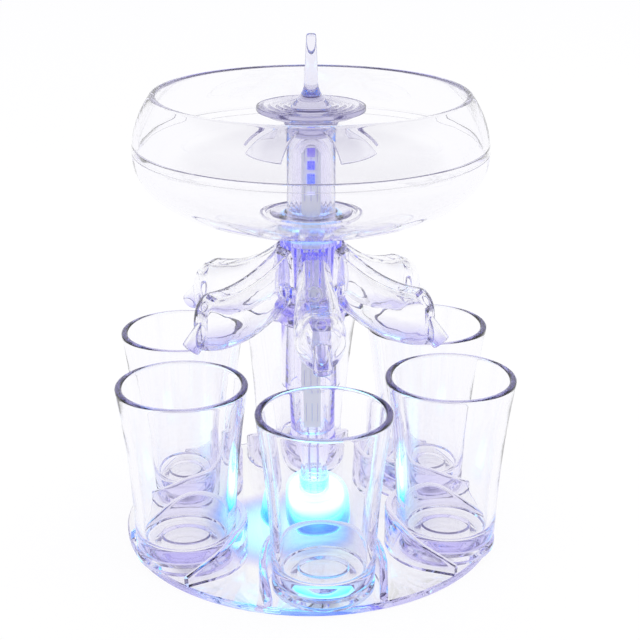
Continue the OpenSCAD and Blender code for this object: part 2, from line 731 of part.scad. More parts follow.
// Flared glass with a thick bottom: rings on its inner floor and a groove round its foot
module shot_glass(i) {
    low = foot_groove_z + 2;
    high = glass_h - 0.8;
    corner_h = glass_bottom_t + floor_corner;
    outer = [for (k = [0:GLASS_STEPS]) let (h = low + (high - low) * k / GLASS_STEPS)
        [glass_out(h), h]];
    inner = [for (k = [GLASS_STEPS:-1:0]) let (h = corner_h + (high - corner_h) * k / GLASS_STEPS)
        [glass_in(h), h]];
    corner_r = glass_in(corner_h) - floor_corner;
    color(LILAC) at_glass(i) translate([ring_r, 0, plate_t]) rotate_extrude()
        polygon(concat(
            [[0, foot_hollow_h], [foot_hollow_r - 3, foot_hollow_h], [foot_hollow_r, 0],
                [glass_foot_r - 1.2, 0], [glass_foot_r - 0.3, 0.9],
                [glass_foot_r, foot_groove_z - 1], [glass_foot_r - foot_groove, foot_groove_z],
                [glass_foot_r - foot_groove, foot_groove_z + 0.8]],
            outer,
            [[glass_rim_r - 0.5, glass_h], [glass_rim_r - glass_rim_wall + 0.5, glass_h]],
            inner,
            arc(corner_r, corner_h, floor_corner, 0, -90, 5),
            [[9.6, glass_bottom_t], [9, glass_bottom_t + 0.7], [0, glass_bottom_t + 0.7]]));
}

// ---- what is shown --------------------------------------------------------------

base_tray();
light_dome();
light_diffuser();
puck_case();
battery_cover();
cover_screws();
button_cells();
cover_contact();
board_contacts();
led_board();
base_leds();
switch_body();
switch_button();
column_post();
light_tube();
stick_board();
stick_leds();
stick_wires();
column_sleeve();
hub();
chimney();
spout(0);  // spout_1
spout(1);  // spout_2
spout(2);  // spout_3
spout(3);  // spout_4
spout(4);  // spout_5
spout(5);  // spout_6
spout_lid(0);  // spout_lid_1
spout_lid(1);  // spout_lid_2
spout_lid(2);  // spout_lid_3
spout_lid(3);  // spout_lid_4
spout_lid(4);  // spout_lid_5
spout_lid(5);  // spout_lid_6
bowl_gasket();
bowl_lower();
bowl_ring();
valve_seal();
valve_sleeve();
splash_guard();
stopper_cap();
shot_glass(0);  // glass_1
shot_glass(1);  // glass_2
shot_glass(2);  // glass_3
shot_glass(3);  // glass_4
shot_glass(4);  // glass_5
shot_glass(5);  // glass_6
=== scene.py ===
# %% [markdown]
# # A party shot dispenser in clear plastic
# The object is a bowl on a lit column, with six petal spouts over six shot glasses. Nearly all of it
# is clear plastic, so what the eye reads is not colour but edges: the bend of light in each wall.
# That asks for closed walls of real thickness, for smooth meshes, and for surroundings that are
# bright below and dim above. The construction is fixed: it is loaded here as a frame, and every
# piece of this script takes its place and size from that frame.

# %% Load the fixed frame
import math

import bmesh
import bpy
from mathutils import Euler, Matrix, Vector

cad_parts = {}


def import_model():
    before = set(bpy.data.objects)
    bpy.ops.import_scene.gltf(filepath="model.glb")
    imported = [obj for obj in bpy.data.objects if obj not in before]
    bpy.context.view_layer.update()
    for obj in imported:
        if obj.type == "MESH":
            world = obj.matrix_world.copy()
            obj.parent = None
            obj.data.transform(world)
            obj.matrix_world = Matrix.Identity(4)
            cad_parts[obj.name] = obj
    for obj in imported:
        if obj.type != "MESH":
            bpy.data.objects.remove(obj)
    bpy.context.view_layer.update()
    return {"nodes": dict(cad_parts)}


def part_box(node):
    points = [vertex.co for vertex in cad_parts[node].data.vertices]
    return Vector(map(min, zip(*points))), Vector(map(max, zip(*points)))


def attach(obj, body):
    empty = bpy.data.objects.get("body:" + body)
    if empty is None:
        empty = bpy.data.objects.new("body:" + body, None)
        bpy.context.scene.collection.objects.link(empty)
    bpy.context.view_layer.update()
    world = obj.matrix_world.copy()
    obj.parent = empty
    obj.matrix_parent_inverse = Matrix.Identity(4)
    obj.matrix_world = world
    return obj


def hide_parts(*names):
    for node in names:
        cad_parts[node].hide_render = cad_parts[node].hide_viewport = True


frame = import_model()

# %% [markdown]
# ## Sizes
# The pieces are drawn in millimetres, as a maker would draw them, and become metres when a mesh is
# made. Whatever the frame already knows is read from it, so that a piece always lies on the
# construction. What is left are wall thicknesses and roundings.

# %% Sizes read from the frame
MM = 0.001
GLASSES = 6


def low(node):
    """Lowest corner of a node, in millimetres."""
    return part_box(node)[0] / MM


def high(node):
    """Highest corner of a node, in millimetres."""
    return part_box(node)[1] / MM


def middle(node):
    return (low(node) + high(node)) / 2


def numbered(name):
    """The names of the six pieces of a kind."""
    return ["%s_%d" % (name, i + 1) for i in range(GLASSES)]


first_glass = middle("glass_1")
ring_r = first_glass.xy.length
first_turn = math.atan2(first_glass.y, first_glass.x)
turns = [first_turn + math.tau * i / GLASSES for i in range(GLASSES)]
plate_r = high("base_tray").x
plate_t = low("glass_1").z
rim_z = high("glass_1").z
hub_z = high("column_sleeve").z
hub_top_z = high("hub").z
bowl_z = high("bowl_gasket").z
seat_z = low("valve_seal").z
belly_z = low("bowl_ring").z
bowl_rim_z = high("bowl_ring").z
bowl_r = high("bowl_ring").x
print("ring %.1f, plate %.1f, glass rims at %.1f, bowl %.1f" % (ring_r, plate_r, rim_z, bowl_r))

# %% [markdown]
# ## Writing node trees
# Shaders and Geometry Nodes are both trees of nodes. Two small classes let a tree be written as
# plain expressions: a Value wraps a socket, and adding or multiplying it adds a Math node. Every
# other node comes from one method that takes its type, its settings and what its sockets hold.

# %% Graph and Value
class Value:
    """An output socket. Arithmetic on it adds Math nodes to its tree."""

    def __init__(self, graph, socket):
        self.graph = graph
        self.socket = socket

    def math(self, operation, *operands):
        inputs = dict(enumerate(operands))
        return self.graph.add("ShaderNodeMath", {"operation": operation}, inputs)

    def __add__(self, other):
        return self.math("ADD", self, other)

    __radd__ = __add__

    def __sub__(self, other):
        return self.math("SUBTRACT", self, other)

    def __rsub__(self, other):
        return self.math("SUBTRACT", other, self)

    def __mul__(self, other):
        return self.math("MULTIPLY", self, other)

    __rmul__ = __mul__

    def __truediv__(self, other):
        return self.math("DIVIDE", self, other)

    def __rtruediv__(self, other):
        return self.math("DIVIDE", other, self)

    def at_least(self, limit):
        return self.math("MAXIMUM", self, limit)

    def at_most(self, limit):
        return self.math("MINIMUM", self, limit)

    def floor(self):
        return self.math("FLOOR", self)

    def cos(self):
        return self.math("COSINE", self)

    def sin(self):
        return self.math("SINE", self)


class Graph:
    """A node tree that is written node by node."""

    def __init__(self, tree):
        self.tree = tree

    def feed(self, socket, value):
        if isinstance(value, Value):
            self.tree.links.new(value.socket, socket)
        else:
            socket.default_value = value

    def add(self, kind, settings=None, inputs=None, output=0):
        """One node: settings first, then a value or a link for each socket that is named."""
        node = self.tree.nodes.new(kind)
        for name, setting in (settings or {}).items():
            setattr(node, name, setting)
        for key, value in (inputs or {}).items():
            self.feed(node.inputs[key], value)
        return Value(self, node.outputs[output]) if len(node.outputs) else node

    def where(self):
        """The place on the piece, in metres."""
        return self.add("ShaderNodeTexCoord", output="Object")

    def parts(self, vector):
        """X, Y and Z of a vector."""
        node = self.add("ShaderNodeSeparateXYZ", inputs={0: vector}).socket.node
        return [Value(self, socket) for socket in node.outputs]

    def mix(self, factor, first, second):
        """A colour between two colours."""
        colours = {0: factor, 6: as_rgba(first), 7: as_rgba(second)}
        return self.add("ShaderNodeMix", {"data_type": "RGBA"}, colours, output=2)

    def noise(self, where, scale, detail=2.0):
        settings = {"noise_dimensions": "3D"}
        inputs = {"Vector": where, "Scale": scale, "Detail": detail}
        return self.add("ShaderNodeTexNoise", settings, inputs)

    def ramp(self, value, *stops):
        """A colour from stops, each a place between 0 and 1 with its colour."""
        ramp = self.add("ShaderNodeValToRGB", inputs={"Fac": value})
        elements = ramp.socket.node.color_ramp.elements
        while len(elements) < len(stops):
            elements.new(1)
        for element, (place, colour) in zip(elements, stops):
            element.position = place
            element.color = (*colour, 1)
        return ramp

    def bump(self, strength, depth, height):
        """A bump of a depth in millimetres."""
        inputs = {"Strength": strength, "Distance": depth * MM, "Height": height}
        return self.add("ShaderNodeBump", inputs=inputs)

    def smooth_step(self, value, start, end):
        """0 before start, 1 after end, and a smooth rise between."""
        inputs = {"Value": value, "From Min": start, "From Max": end}
        return self.add("ShaderNodeMapRange", {"interpolation_type": "SMOOTHSTEP"}, inputs)


def as_rgba(colour):
    return (*colour, 1) if isinstance(colour, tuple) else colour


# %% [markdown]
# ## Turning a profile
# Bowl, glasses, tubes and stopper are all turned pieces: a profile goes round an axis. A Screw
# modifier could do it, but a Geometry Nodes tree does it by rule. A grid has one row for each
# profile point and one column for each step round the axis, every grid point looks up its profile
# point, and merging by distance closes the seam and the poles. The same tree can flute a wall, for
# the ribbed inside of the hub, where the profile's points ask for it.

# %% The turning tree
FLUTE = "flute"
CLOSE = 0.5e-6


def new_tree(name, *inputs):
    """An empty Geometry Nodes tree with named inputs, and its Graph and input values."""
    tree = bpy.data.node_groups.new(name, "GeometryNodeTree")
    for title, kind in inputs:
        tree.interface.new_socket(title, in_out="INPUT", socket_type="NodeSocket" + kind)
    tree.interface.new_socket("Result", in_out="OUTPUT", socket_type="NodeSocketGeometry")
    graph = Graph(tree)
    source = tree.nodes.new("NodeGroupInput")
    given = {title: Value(graph, source.outputs[title]) for title, kind in inputs}
    return tree, graph, given


def end_tree(graph, geometry, finish):
    """Ends a tree in Realize Instances and Set Material."""
    real = graph.add("GeometryNodeRealizeInstances", inputs={"Geometry": geometry})
    done = graph.add("GeometryNodeSetMaterial", inputs={"Geometry": real, "Material": finish})
    sink = graph.tree.nodes.new("NodeGroupOutput")
    graph.feed(sink.inputs["Result"], done)


def turning_tree():
    tree, graph, given = new_tree(
        "turn_profile", ("Profile", "Geometry"), ("Steps", "Int"), ("Flutes", "Int"),
        ("Flute Depth", "Float"), ("Place", "Vector"), ("Finish", "Material"))
    rows = graph.add("GeometryNodeAttributeDomainSize", inputs={"Geometry": given["Profile"]})
    columns = given["Steps"] + 1
    grid = graph.add("GeometryNodeMeshGrid", inputs={"Vertices X": rows, "Vertices Y": columns})
    index = graph.add("GeometryNodeInputIndex")
    row = ((index + 0.5) / columns).floor()
    angle = (index - row * columns) * math.tau / given["Steps"]

    def on_profile(kind, value):
        return graph.add("GeometryNodeSampleIndex", {"data_type": kind},
                         {"Geometry": given["Profile"], "Value": value, "Index": row})

    place = graph.add("GeometryNodeInputPosition")
    radius, _, height = graph.parts(on_profile("FLOAT_VECTOR", place))
    flute = graph.add("GeometryNodeInputNamedAttribute", {"data_type": "FLOAT"}, {"Name": FLUTE})
    wave = (angle * given["Flutes"]).cos() * given["Flute Depth"]
    radius = radius + wave * on_profile("FLOAT", flute)
    spun = graph.add("ShaderNodeCombineXYZ",
                     inputs={0: radius * angle.cos(), 1: radius * angle.sin(), 2: height})
    shaped = graph.add("GeometryNodeSetPosition", inputs={"Geometry": grid, "Position": spun})
    closed = graph.add("GeometryNodeMergeByDistance", inputs={"Geometry": shaped, "Distance": CLOSE})
    placed = graph.add("GeometryNodeTransform",
                       inputs={"Geometry": closed, "Translation": given["Place"]})
    end_tree(graph, placed, given["Finish"])
    return tree


TURN_PROFILE = turning_tree()
print("turning tree of", len(TURN_PROFILE.nodes), "nodes")

# %% [markdown]
# ## From a tree to a plain mesh
# A tree runs as a modifier on an object that holds its input. Its settings go in by the sockets'
# identifiers, the evaluated object is turned into a plain mesh, and the modifier is removed. Then
# the mesh is tidied: faces point outwards, and only edges sharper than an angle stay sharp, so that
# light bends smoothly over the rest.

# %% Running trees and finishing meshes
SHARP = math.radians(32)
ROOM = 0.48  # the share of an edge that one rounding may take


def new_object(name, mesh):
    piece = bpy.data.objects.new(name, mesh)
    bpy.context.scene.collection.objects.link(piece)
    return piece


def apply_modifiers(piece):
    """Makes the evaluated shape the piece's own plain mesh."""
    bpy.context.view_layer.update()
    evaluated = piece.evaluated_get(bpy.context.evaluated_depsgraph_get())
    mesh = bpy.data.meshes.new_from_object(evaluated)
    piece.modifiers.clear()
    piece.data = mesh
    return piece


def bevelled(piece, width, segments, angle):
    """Rounds the edges that are sharper than an angle in degrees."""
    modifier = piece.modifiers.new("soft_edges", "BEVEL")
    modifier.width, modifier.segments, modifier.angle_limit = width * MM, segments, math.radians(angle)
    return apply_modifiers(piece)


def run_tree(source, tree, **inputs):
    """Runs a tree on an object. Each input goes by its title in lower case."""
    modifier = source.modifiers.new(tree.name, "NODES")
    modifier.node_group = tree
    for item in tree.interface.items_tree:
        key = item.name.replace(" ", "_").lower()
        if item.in_out == "INPUT" and key in inputs:
            modifier[item.identifier] = inputs[key]
    return apply_modifiers(source)


def finish_mesh(piece):
    """Merges doubles, turns faces outwards and shades smoothly between sharp edges."""
    shape = bmesh.new()
    shape.from_mesh(piece.data)
    bmesh.ops.remove_doubles(shape, verts=shape.verts, dist=CLOSE)
    bmesh.ops.recalc_face_normals(shape, faces=shape.faces)
    for face in shape.faces:
        face.smooth = True
    shape.to_mesh(piece.data)
    shape.free()
    piece.data.set_sharp_from_angle(angle=SHARP)
    return piece


def quarter(steps):
    """The angles of a quarter turn in equal steps, both ends included."""
    return [math.pi / 2 * k / steps for k in range(steps + 1)]


def rounded(corners, steps=5):
    """A profile through corners (radius, height, rounding): a rounding makes a corner an arc."""
    points = []
    for i, (x, z, rounding) in enumerate(corners):
        here = Vector((x, z))
        back = Vector(corners[i - 1][:2]) - here
        ahead = Vector(corners[(i + 1) % len(corners)][:2]) - here
        if rounding == 0:
            points.append(here)
            continue
        half = back.angle(ahead) / 2
        reach = min(rounding / math.tan(half), ROOM * back.length, ROOM * ahead.length)
        inward = (back.normalized() + ahead.normalized()).normalized()
        centre = here + inward * reach / math.cos(half)
        start = here + back.normalized() * reach - centre
        end = here + ahead.normalized() * reach - centre
        arc_r = start.length
        start.normalize()
        end.normalize()
        points += [centre + start.slerp(end, k / steps) * arc_r for k in range(steps + 1)]
    return [(p.x, p.y) for p in points]


def turned(name, profile, finish, steps=160, place=(0, 0, 0), flutes=0, flute_depth=0, fluted=()):
    """A turned piece. A profile that keeps off the axis is closed to a ring."""
    points = list(profile)
    on_axis = max(points[0][0], points[-1][0]) < 1e-6
    if not on_axis:
        points.append(points[0])
    mesh = bpy.data.meshes.new(name)
    mesh.from_pydata([(r * MM, 0, z * MM) for r, z in points], [], [])
    weights = [1.0 if fluted and fluted(r, z) else 0.0 for r, z in points]
    mesh.attributes.new(FLUTE, "FLOAT", "POINT").data.foreach_set("value", weights)
    piece = run_tree(new_object(name, mesh), TURN_PROFILE, steps=steps, flutes=flutes,
                     flute_depth=flute_depth * MM, place=Vector(place) * MM, finish=finish)
    return finish_mesh(piece)


def report(*pieces):
    """Says how many triangles each piece has, and whether its walls are closed."""
    for piece in pieces:
        shape = bmesh.new()
        shape.from_mesh(piece.data)
        triangles = sum(len(face.verts) - 2 for face in shape.faces)
        open_edges = sum(not edge.is_manifold for edge in shape.edges)
        shape.free()
        print("%s: %d triangles, %d open edges" % (piece.name, triangles, open_edges))


# %% [markdown]
# ## Clear plastic
# Real clear mouldings are not perfect glass. They carry a faint tint that deepens with the length
# of the way through them, slow waves from the mould, and fine smudges. So the shader is a plain
# refracting surface with a volume that absorbs, waves as a weak bump, and smudges in the roughness.
# Light that only casts a shadow goes straight through, or the lamps would not reach inside.

# %% Materials of the clear pieces
INDEX_OF_PLASTIC = 1.49
WAVE_DEPTH, GRAIN_DEPTH = 0.6, 0.05
SMUDGE_SCALE = 150.0


def new_material(name):
    print("material:", name)
    material = bpy.data.materials.new(name)
    material.use_nodes = True
    material.node_tree.nodes.clear()
    return material, Graph(material.node_tree)


def by_height(bottom, top, *stops):
    """A colour that runs along a ramp over the height, from bottom to top in millimetres."""
    def colour(graph, where):
        return graph.ramp((graph.parts(where)[2] / MM - bottom) / (top - bottom), *stops)
    return colour


def by_distance(point, reach, *stops):
    """A colour that runs along a ramp over the distance from a point, both in millimetres."""
    def colour(graph, where):
        away = graph.add("ShaderNodeVectorMath", {"operation": "DISTANCE"},
                         {0: where, 1: Vector(point) * MM}, output="Value")
        return graph.ramp(away / (reach * MM), *stops)
    return colour


def clear_plastic(name, tint, density, shade=(1, 1, 1), glow=(0, 0, 0), frost=0.0, waves=0.35,
                  wave_scale=45, smudge=0.03):
    """A clear moulding. Tint and density set what it absorbs for each metre of way. shade is what
    the surface lets through and glow what it gives off, each a colour or made from the place."""
    material, graph = new_material(name)
    where = graph.where()
    bump = graph.bump(waves, WAVE_DEPTH, graph.noise(where, wave_scale, 1.0))
    film = graph.smooth_step(graph.noise(where, SMUDGE_SCALE, 4.0), 0.5, 0.75)
    surface = graph.add("ShaderNodeBsdfPrincipled", inputs={
        "Base Color": shade(graph, where) if callable(shade) else as_rgba(shade),
        "Roughness": film * smudge + frost, "IOR": INDEX_OF_PLASTIC, "Transmission Weight": 1.0,
        "Emission Color": glow(graph, where) if callable(glow) else as_rgba(glow),
        "Emission Strength": 1.0, "Normal": bump})
    path = graph.add("ShaderNodeLightPath", output="Is Shadow Ray")
    through = graph.add("ShaderNodeBsdfTransparent")
    either = graph.add("ShaderNodeMixShader", inputs={0: path, 1: surface, 2: through})
    body = graph.add("ShaderNodeVolumeAbsorption", inputs={"Color": as_rgba(tint), "Density": density})
    graph.add("ShaderNodeOutputMaterial", inputs={"Surface": either, "Volume": body})
    return material


CLEAR = clear_plastic("clear_moulding", tint=(0.80, 0.77, 0.98), density=24)
CLEAR_COLUMN = clear_plastic("clear_column_moulding", tint=(0.66, 0.60, 0.98), density=50, waves=0.5)
CLEAR_SEAL = clear_plastic("clear_silicone", tint=(0.6, 0.6, 0.97), density=100, smudge=0.3)

# %% [markdown]
# ## Lit plastic
# The light of the diodes in the base is painted into the clear pieces round it: white-hot in the
# dome, falling off to cyan, blue and violet at the plate. The dome is frosted, and its painted glow and
# painted tint run along ramps over the height. On the plate a painted pool of light fades with the
# distance from the lamp, which is a little left of the middle in the photo. The hub's top shows the
# column's light as a painted glow.

# %% Materials of the lit clear pieces
dome_span = plate_t, high("light_dome").z
# The dome is no lamp: the diodes' light is painted into its glow and its tint, along the height.
dome_painted_glow = by_height(
    *dome_span, (0.0, (0.0, 0.05, 0.30)), (0.2, (0.0, 0.16, 0.28)),
    (0.45, (0.05, 0.25, 0.30)), (0.6, (0.15, 0.35, 0.35)), (0.72, (0.12, 0.30, 0.32)),
    (0.8, (0.0, 0.20, 0.28)), (1.0, (0.0, 0.12, 0.25)))
dome_painted_tint = by_height(
    *dome_span, (0.0, (0.40, 0.60, 1.0)), (0.2, (0.45, 0.90, 0.96)),
    (0.45, (0.65, 1.0, 1.0)), (0.6, (0.9, 1.0, 1.0)), (0.72, (0.85, 1.0, 1.0)),
    (0.8, (0.5, 0.92, 1.0)), (1.0, (0.6, 0.85, 1.0)))
# A painted pool of the lamp's light on the plate: pale cyan at its middle, then blue and violet, fading
# out with the distance.
painted_light_centre = (-8, -12, plate_t)
plate_painted_light = by_distance(
    painted_light_centre, 34, (0.0, (0.75, 1.0, 1.0)), (0.4, (0.68, 0.98, 1.0)), (0.62, (0.58, 0.93, 1.0)),
    (0.78, (0.56, 0.70, 1.0)), (0.9, (0.80, 0.78, 1.0)), (1.0, (1.0, 1.0, 1.0)))
plate_painted_glow = by_distance(
    painted_light_centre, 34, (0.0, (0.08, 0.20, 0.20)), (0.45, (0.02, 0.10, 0.12)), (0.62, (0.0, 0.05, 0.08)),
    (0.75, (0.0, 0.01, 0.06)), (0.88, (0.0, 0.0, 0.0)), (1.0, (0.0, 0.0, 0.0)))


def tray_painted_light_and_wall_tint(graph, where):
    """A painted pool of lamp light on the plate, and the violet cast of the standing walls."""
    on_wall = graph.smooth_step(graph.parts(where)[2], (plate_t + 0.4) * MM, (plate_t + 3.0) * MM)
    return graph.mix(on_wall, plate_painted_light(graph, where), (0.86, 0.84, 0.98))


# The plate carries the painted pool of light in its tint and its glow.
CLEAR_TRAY = clear_plastic("clear_tray_moulding", tint=(0.74, 0.71, 0.96), density=12,
                           shade=tray_painted_light_and_wall_tint, glow=plate_painted_glow)
# The glasses carry a painted cyan tint near the lamp, for its light in their walls; it fades with the
# distance from a point in front of the dome.
CLEAR_GLASS = clear_plastic(
    "clear_glass_moulding", tint=(0.80, 0.77, 0.98), density=18,
    shade=by_distance((0, -10, 8), 60, (0.0, (0.66, 0.95, 1.0)), (0.5, (0.70, 0.96, 1.0)),
                      (0.6, (0.80, 0.97, 1.0)), (0.75, (0.95, 0.96, 1.0)), (0.9, (1.0, 1.0, 1.0))))
# The spouts grow darker violet towards the lower nose: partly the plastic's own tint over the long way
# through the underside, partly painted shade for the dark light that the underside bends there.
CLEAR_SPOUT = clear_plastic(
    "clear_spout_moulding", tint=(0.80, 0.77, 0.98), density=18, waves=1.0, wave_scale=110,
    shade=by_height(rim_z + 9, rim_z + 17, (0.0, (0.45, 0.40, 0.90)), (0.5, (0.80, 0.78, 0.98)),
                    (1.0, (1.0, 1.0, 1.0))))
CLEAR_STOPPER = clear_plastic("clear_stopper_moulding", tint=(0.70, 0.68, 0.82), density=60,
                              shade=(0.96, 0.955, 1.0))
# The hub's top carries a painted cyan tint and a painted glow, for the column's light in it.
CLEAR_HUB = clear_plastic(
    "clear_hub_moulding", tint=(0.55, 0.48, 0.98), density=70, waves=0.9, wave_scale=160,
    shade=by_height(hub_z, hub_top_z, (0.0, (0.93, 0.91, 1.0)), (0.9, (0.9, 0.9, 1.0)),
                    (1.0, (0.6, 0.85, 1.0))),
    glow=by_height(hub_z, hub_top_z, (0.0, (0.0, 0.0, 0.0)), (0.88, (0.0, 0.0, 0.03)),
                   (0.95, (0.0, 0.16, 0.4)), (1.0, (0.0, 0.25, 0.5))))
# The dome carries painted light: a cyan painted tint and a painted glow.
LIT_DOME = clear_plastic("lit_dome_moulding", tint=(0.55, 0.93, 0.99), density=30, frost=0.22,
                         shade=dome_painted_tint, glow=dome_painted_glow)
# The washer gives off a painted blue glow, for the column's light in it.
LIT_WASHER = clear_plastic("lit_washer", tint=(0.4, 0.75, 0.97), density=100, frost=0.2,
                           glow=(0.01, 0.25, 0.55))

# %% [markdown]
# ## Lit inner finishes
# Under the dome the case shows the light of the diodes as a painted glow in the same colours, and each
# diode is a small saturated light. A lit piece shows its own colour more than its surroundings, so its
# colour is also what it emits. Clouds of white haze break up the painted glow, so that it does not look
# flat.

# %% Materials of the lit inner pieces
BLUE = (0.02, 0.08, 1.0)
VIOLET = (0.22, 0.12, 0.85)
CYAN = (0.10, 0.78, 1.0)
WHITE_HOT = (0.85, 1.0, 1.0)
FINE_GRAIN = 2600.0


def end_opaque(graph, colour, roughness, glow, bump, metallic=0.0):
    """Ends a material in an opaque surface that gives off a share of its own colour."""
    surface = graph.add("ShaderNodeBsdfPrincipled", inputs={
        "Base Color": colour, "Roughness": roughness, "Metallic": metallic,
        "Emission Color": colour, "Emission Strength": glow, "Normal": bump})
    graph.add("ShaderNodeOutputMaterial", inputs={"Surface": surface})


def glowing(name, strength, ramp, roughness=0.55, grain=0.0, haze=0.25):
    """A lit finish whose colour follows a ramp, with a white haze in clouds over it."""
    material, graph = new_material(name)
    where = graph.where()
    cloud = graph.noise(where, 190.0, 3.0)
    veil = graph.smooth_step(cloud, 0.35, 0.8) * haze
    colour = graph.mix(veil, ramp(graph, where), (1.0, 1.0, 1.0))
    bump = graph.bump(0.3, GRAIN_DEPTH, graph.noise(where, FINE_GRAIN, 2.0))
    end_opaque(graph, colour, cloud * grain + roughness, strength, bump)
    return material


diffuser_box = low("light_diffuser").z, high("light_diffuser").z
FROSTED = glowing("frosted_cap", 0.8, by_height(
    *diffuser_box, (0.0, CYAN), (0.25, (0.45, 0.95, 1.0)), (0.6, WHITE_HOT), (1.0, WHITE_HOT)))
# The case is no lamp: its colour ramp and its glow are painted light of the diodes.
CASE_PAINTED_GLOW = glowing("lit_case", 0.35, by_height(
    plate_t, diffuser_box[0], (0.0, VIOLET), (0.25, BLUE), (0.7, CYAN), (1.0, WHITE_HOT)),
    roughness=0.4, grain=0.2)

# %% [markdown]
# ## Solid inner finishes
# Solid pieces get what such parts have: satin moulding grain on the cover, drawn streaks on the
# cells, worn patches on steel and brass, and solder mask with faint tracks on the boards.

# %% Materials of the solid inner pieces
def solid(name, colour, worn, roughness, metallic=0.0, scale=400.0, stretch=(1, 1, 1), relief=0.1,
          glow=0.0):
    """A solid finish: a colour that drifts to a worn one, with grain in roughness and relief."""
    material, graph = new_material(name)
    where = graph.where()
    stretched = graph.add("ShaderNodeMapping", inputs={"Vector": where, "Scale": stretch})
    grain = graph.noise(stretched, scale, 4.0)
    patch = graph.smooth_step(graph.noise(where, 120.0, 3.0), 0.4, 0.75)
    bump = graph.bump(relief, GRAIN_DEPTH, grain)
    end_opaque(graph, graph.mix(patch, colour, worn), grain * 0.25 + roughness, glow, bump, metallic)
    return material


def circuit_board(name, mask, track, glow):
    """White solder mask with faint tracks and pads under it."""
    material, graph = new_material(name)
    where = graph.where()
    across, _, along = graph.parts(where)
    track_rate, break_rate = 2600.0, 420.0
    lines = graph.smooth_step((across * track_rate).cos(), 0.8, 0.95)
    breaks = graph.smooth_step((along * break_rate).sin(), -0.2, 0.1)
    cover = lines * breaks * 0.6
    bump = graph.bump(0.4, GRAIN_DEPTH, cover)
    end_opaque(graph, graph.mix(cover, mask, track), 0.45 - cover * 0.2, glow, bump)
    return material


# The boards give off a painted glow, for the light of the diodes round them.
BOARD = circuit_board("white_board", (0.88, 0.92, 1.0), (0.35, 0.35, 0.62), 0.25)
STEEL = solid("zinc_steel", (0.55, 0.56, 0.58), (0.42, 0.43, 0.46), 0.28, metallic=1.0)
CELL = solid("nickel_cell", (0.74, 0.75, 0.77), (0.6, 0.61, 0.63), 0.22, metallic=1.0,
             stretch=(1, 1, 12))
BRASS = solid("brass_sheet", (0.80, 0.62, 0.30), (0.62, 0.46, 0.22), 0.25, metallic=1.0)
BLACK = solid("black_moulding", (0.03, 0.03, 0.035), (0.06, 0.06, 0.065), 0.45, scale=900.0)
GREY = solid("grey_moulding", (0.62, 0.62, 0.66), (0.55, 0.55, 0.6), 0.4, scale=900.0)
COVER = solid("satin_cover", (0.84, 0.84, 0.88), (0.78, 0.78, 0.84), 0.42, scale=1200.0, relief=0.3)
# The wires give off a painted glow, for the light of the diodes round them.
WIRE = solid("wire_skin", (0.55, 0.5, 0.85), (0.42, 0.38, 0.75), 0.4, scale=300.0, glow=0.35)

# %% [markdown]
# ## The shot glasses
# A shot glass is pressed in a mould: a thick solid bottom that works like a lens, a wall that
# flares towards the rim, a groove over the foot and a slightly raised disc inside. Its outline
# is a parabola, so it is drawn as a formula and turned. Six separate glasses are made, because each
# slides out of its holder by itself.

# %% Shot glasses
AIR = 0.05
glass_h = rim_z - plate_t
rim_r = (high("glass_1").x - low("glass_1").x) / 2
foot_r, foot_wall, rim_wall, bottom_t = 19.2, 3.2, 2.6, 9.5
groove_z, groove, floor_corner, disc_r = 5.2, 0.6, 4.0, 9.3


def glass_outside(h):
    return foot_r + (rim_r - foot_r) * (h / glass_h) ** 2


def glass_inside(h):
    return glass_outside(h) - foot_wall + (foot_wall - rim_wall) * h / glass_h


def glass_profile():
    corner_h = bottom_t + floor_corner
    wall_z = groove_z + 2.5
    rises = [wall_z + (glass_h - 2 - wall_z) * k / 24 for k in range(25)]
    outer = [(glass_outside(h), h, 0) for h in rises]
    inner = [(glass_inside(h), h, 0) for h in reversed(rises) if h > corner_h + 1]
    corners = [
        (0, 1.2, 0), (9.8, 1.2, 0.8), (13, AIR, 0.8), (foot_r - 1.0, AIR, 0.7),
        (foot_r, 1.6, 0.9), (foot_r, groove_z - 0.9, 0.4), (foot_r - groove, groove_z, 0.4),
        (foot_r - groove, groove_z + 0.8, 0.4), *outer,
        (rim_r, glass_h, 1.15), (rim_r - rim_wall, glass_h, 1.15), *inner,
        (glass_inside(corner_h), bottom_t, floor_corner),
        (disc_r + 0.4, bottom_t, 0.3), (disc_r - 0.3, bottom_t + 0.7, 0.3), (0, bottom_t + 0.7, 0)]
    return rounded(corners)


glasses = [turned(name, glass_profile(), CLEAR_GLASS,
                  place=(ring_r * math.cos(turn), ring_r * math.sin(turn), plate_t))
           for name, turn in zip(numbered("shot_glass"), turns)]
report(glasses[0])

# %% [markdown]
# ## Copies round the column
# Holders, spouts, lids and splash leaves repeat round the axis. One tree places them: a handful of
# points carries the turn of each copy, and a piece is instanced on every point. The result is one
# plain mesh, because the copies of one kind move together.

# %% The tree for copies round the axis
TURN = "turn"


def copies_tree():
    tree, graph, given = new_tree(
        "copies_round_axis", ("Points", "Geometry"), ("Piece", "Object"), ("Finish", "Material"))
    turn = graph.add("GeometryNodeInputNamedAttribute", {"data_type": "FLOAT"}, {"Name": TURN})
    spin = graph.add("ShaderNodeCombineXYZ", inputs={2: turn})
    piece = graph.add("GeometryNodeObjectInfo", inputs={0: given["Piece"], 1: True}, output="Geometry")
    copies = graph.add("GeometryNodeInstanceOnPoints", inputs={
        "Points": given["Points"], "Instance": piece, "Rotation": spin})
    end_tree(graph, copies, given["Finish"])
    return tree


COPIES_ROUND_AXIS = copies_tree()


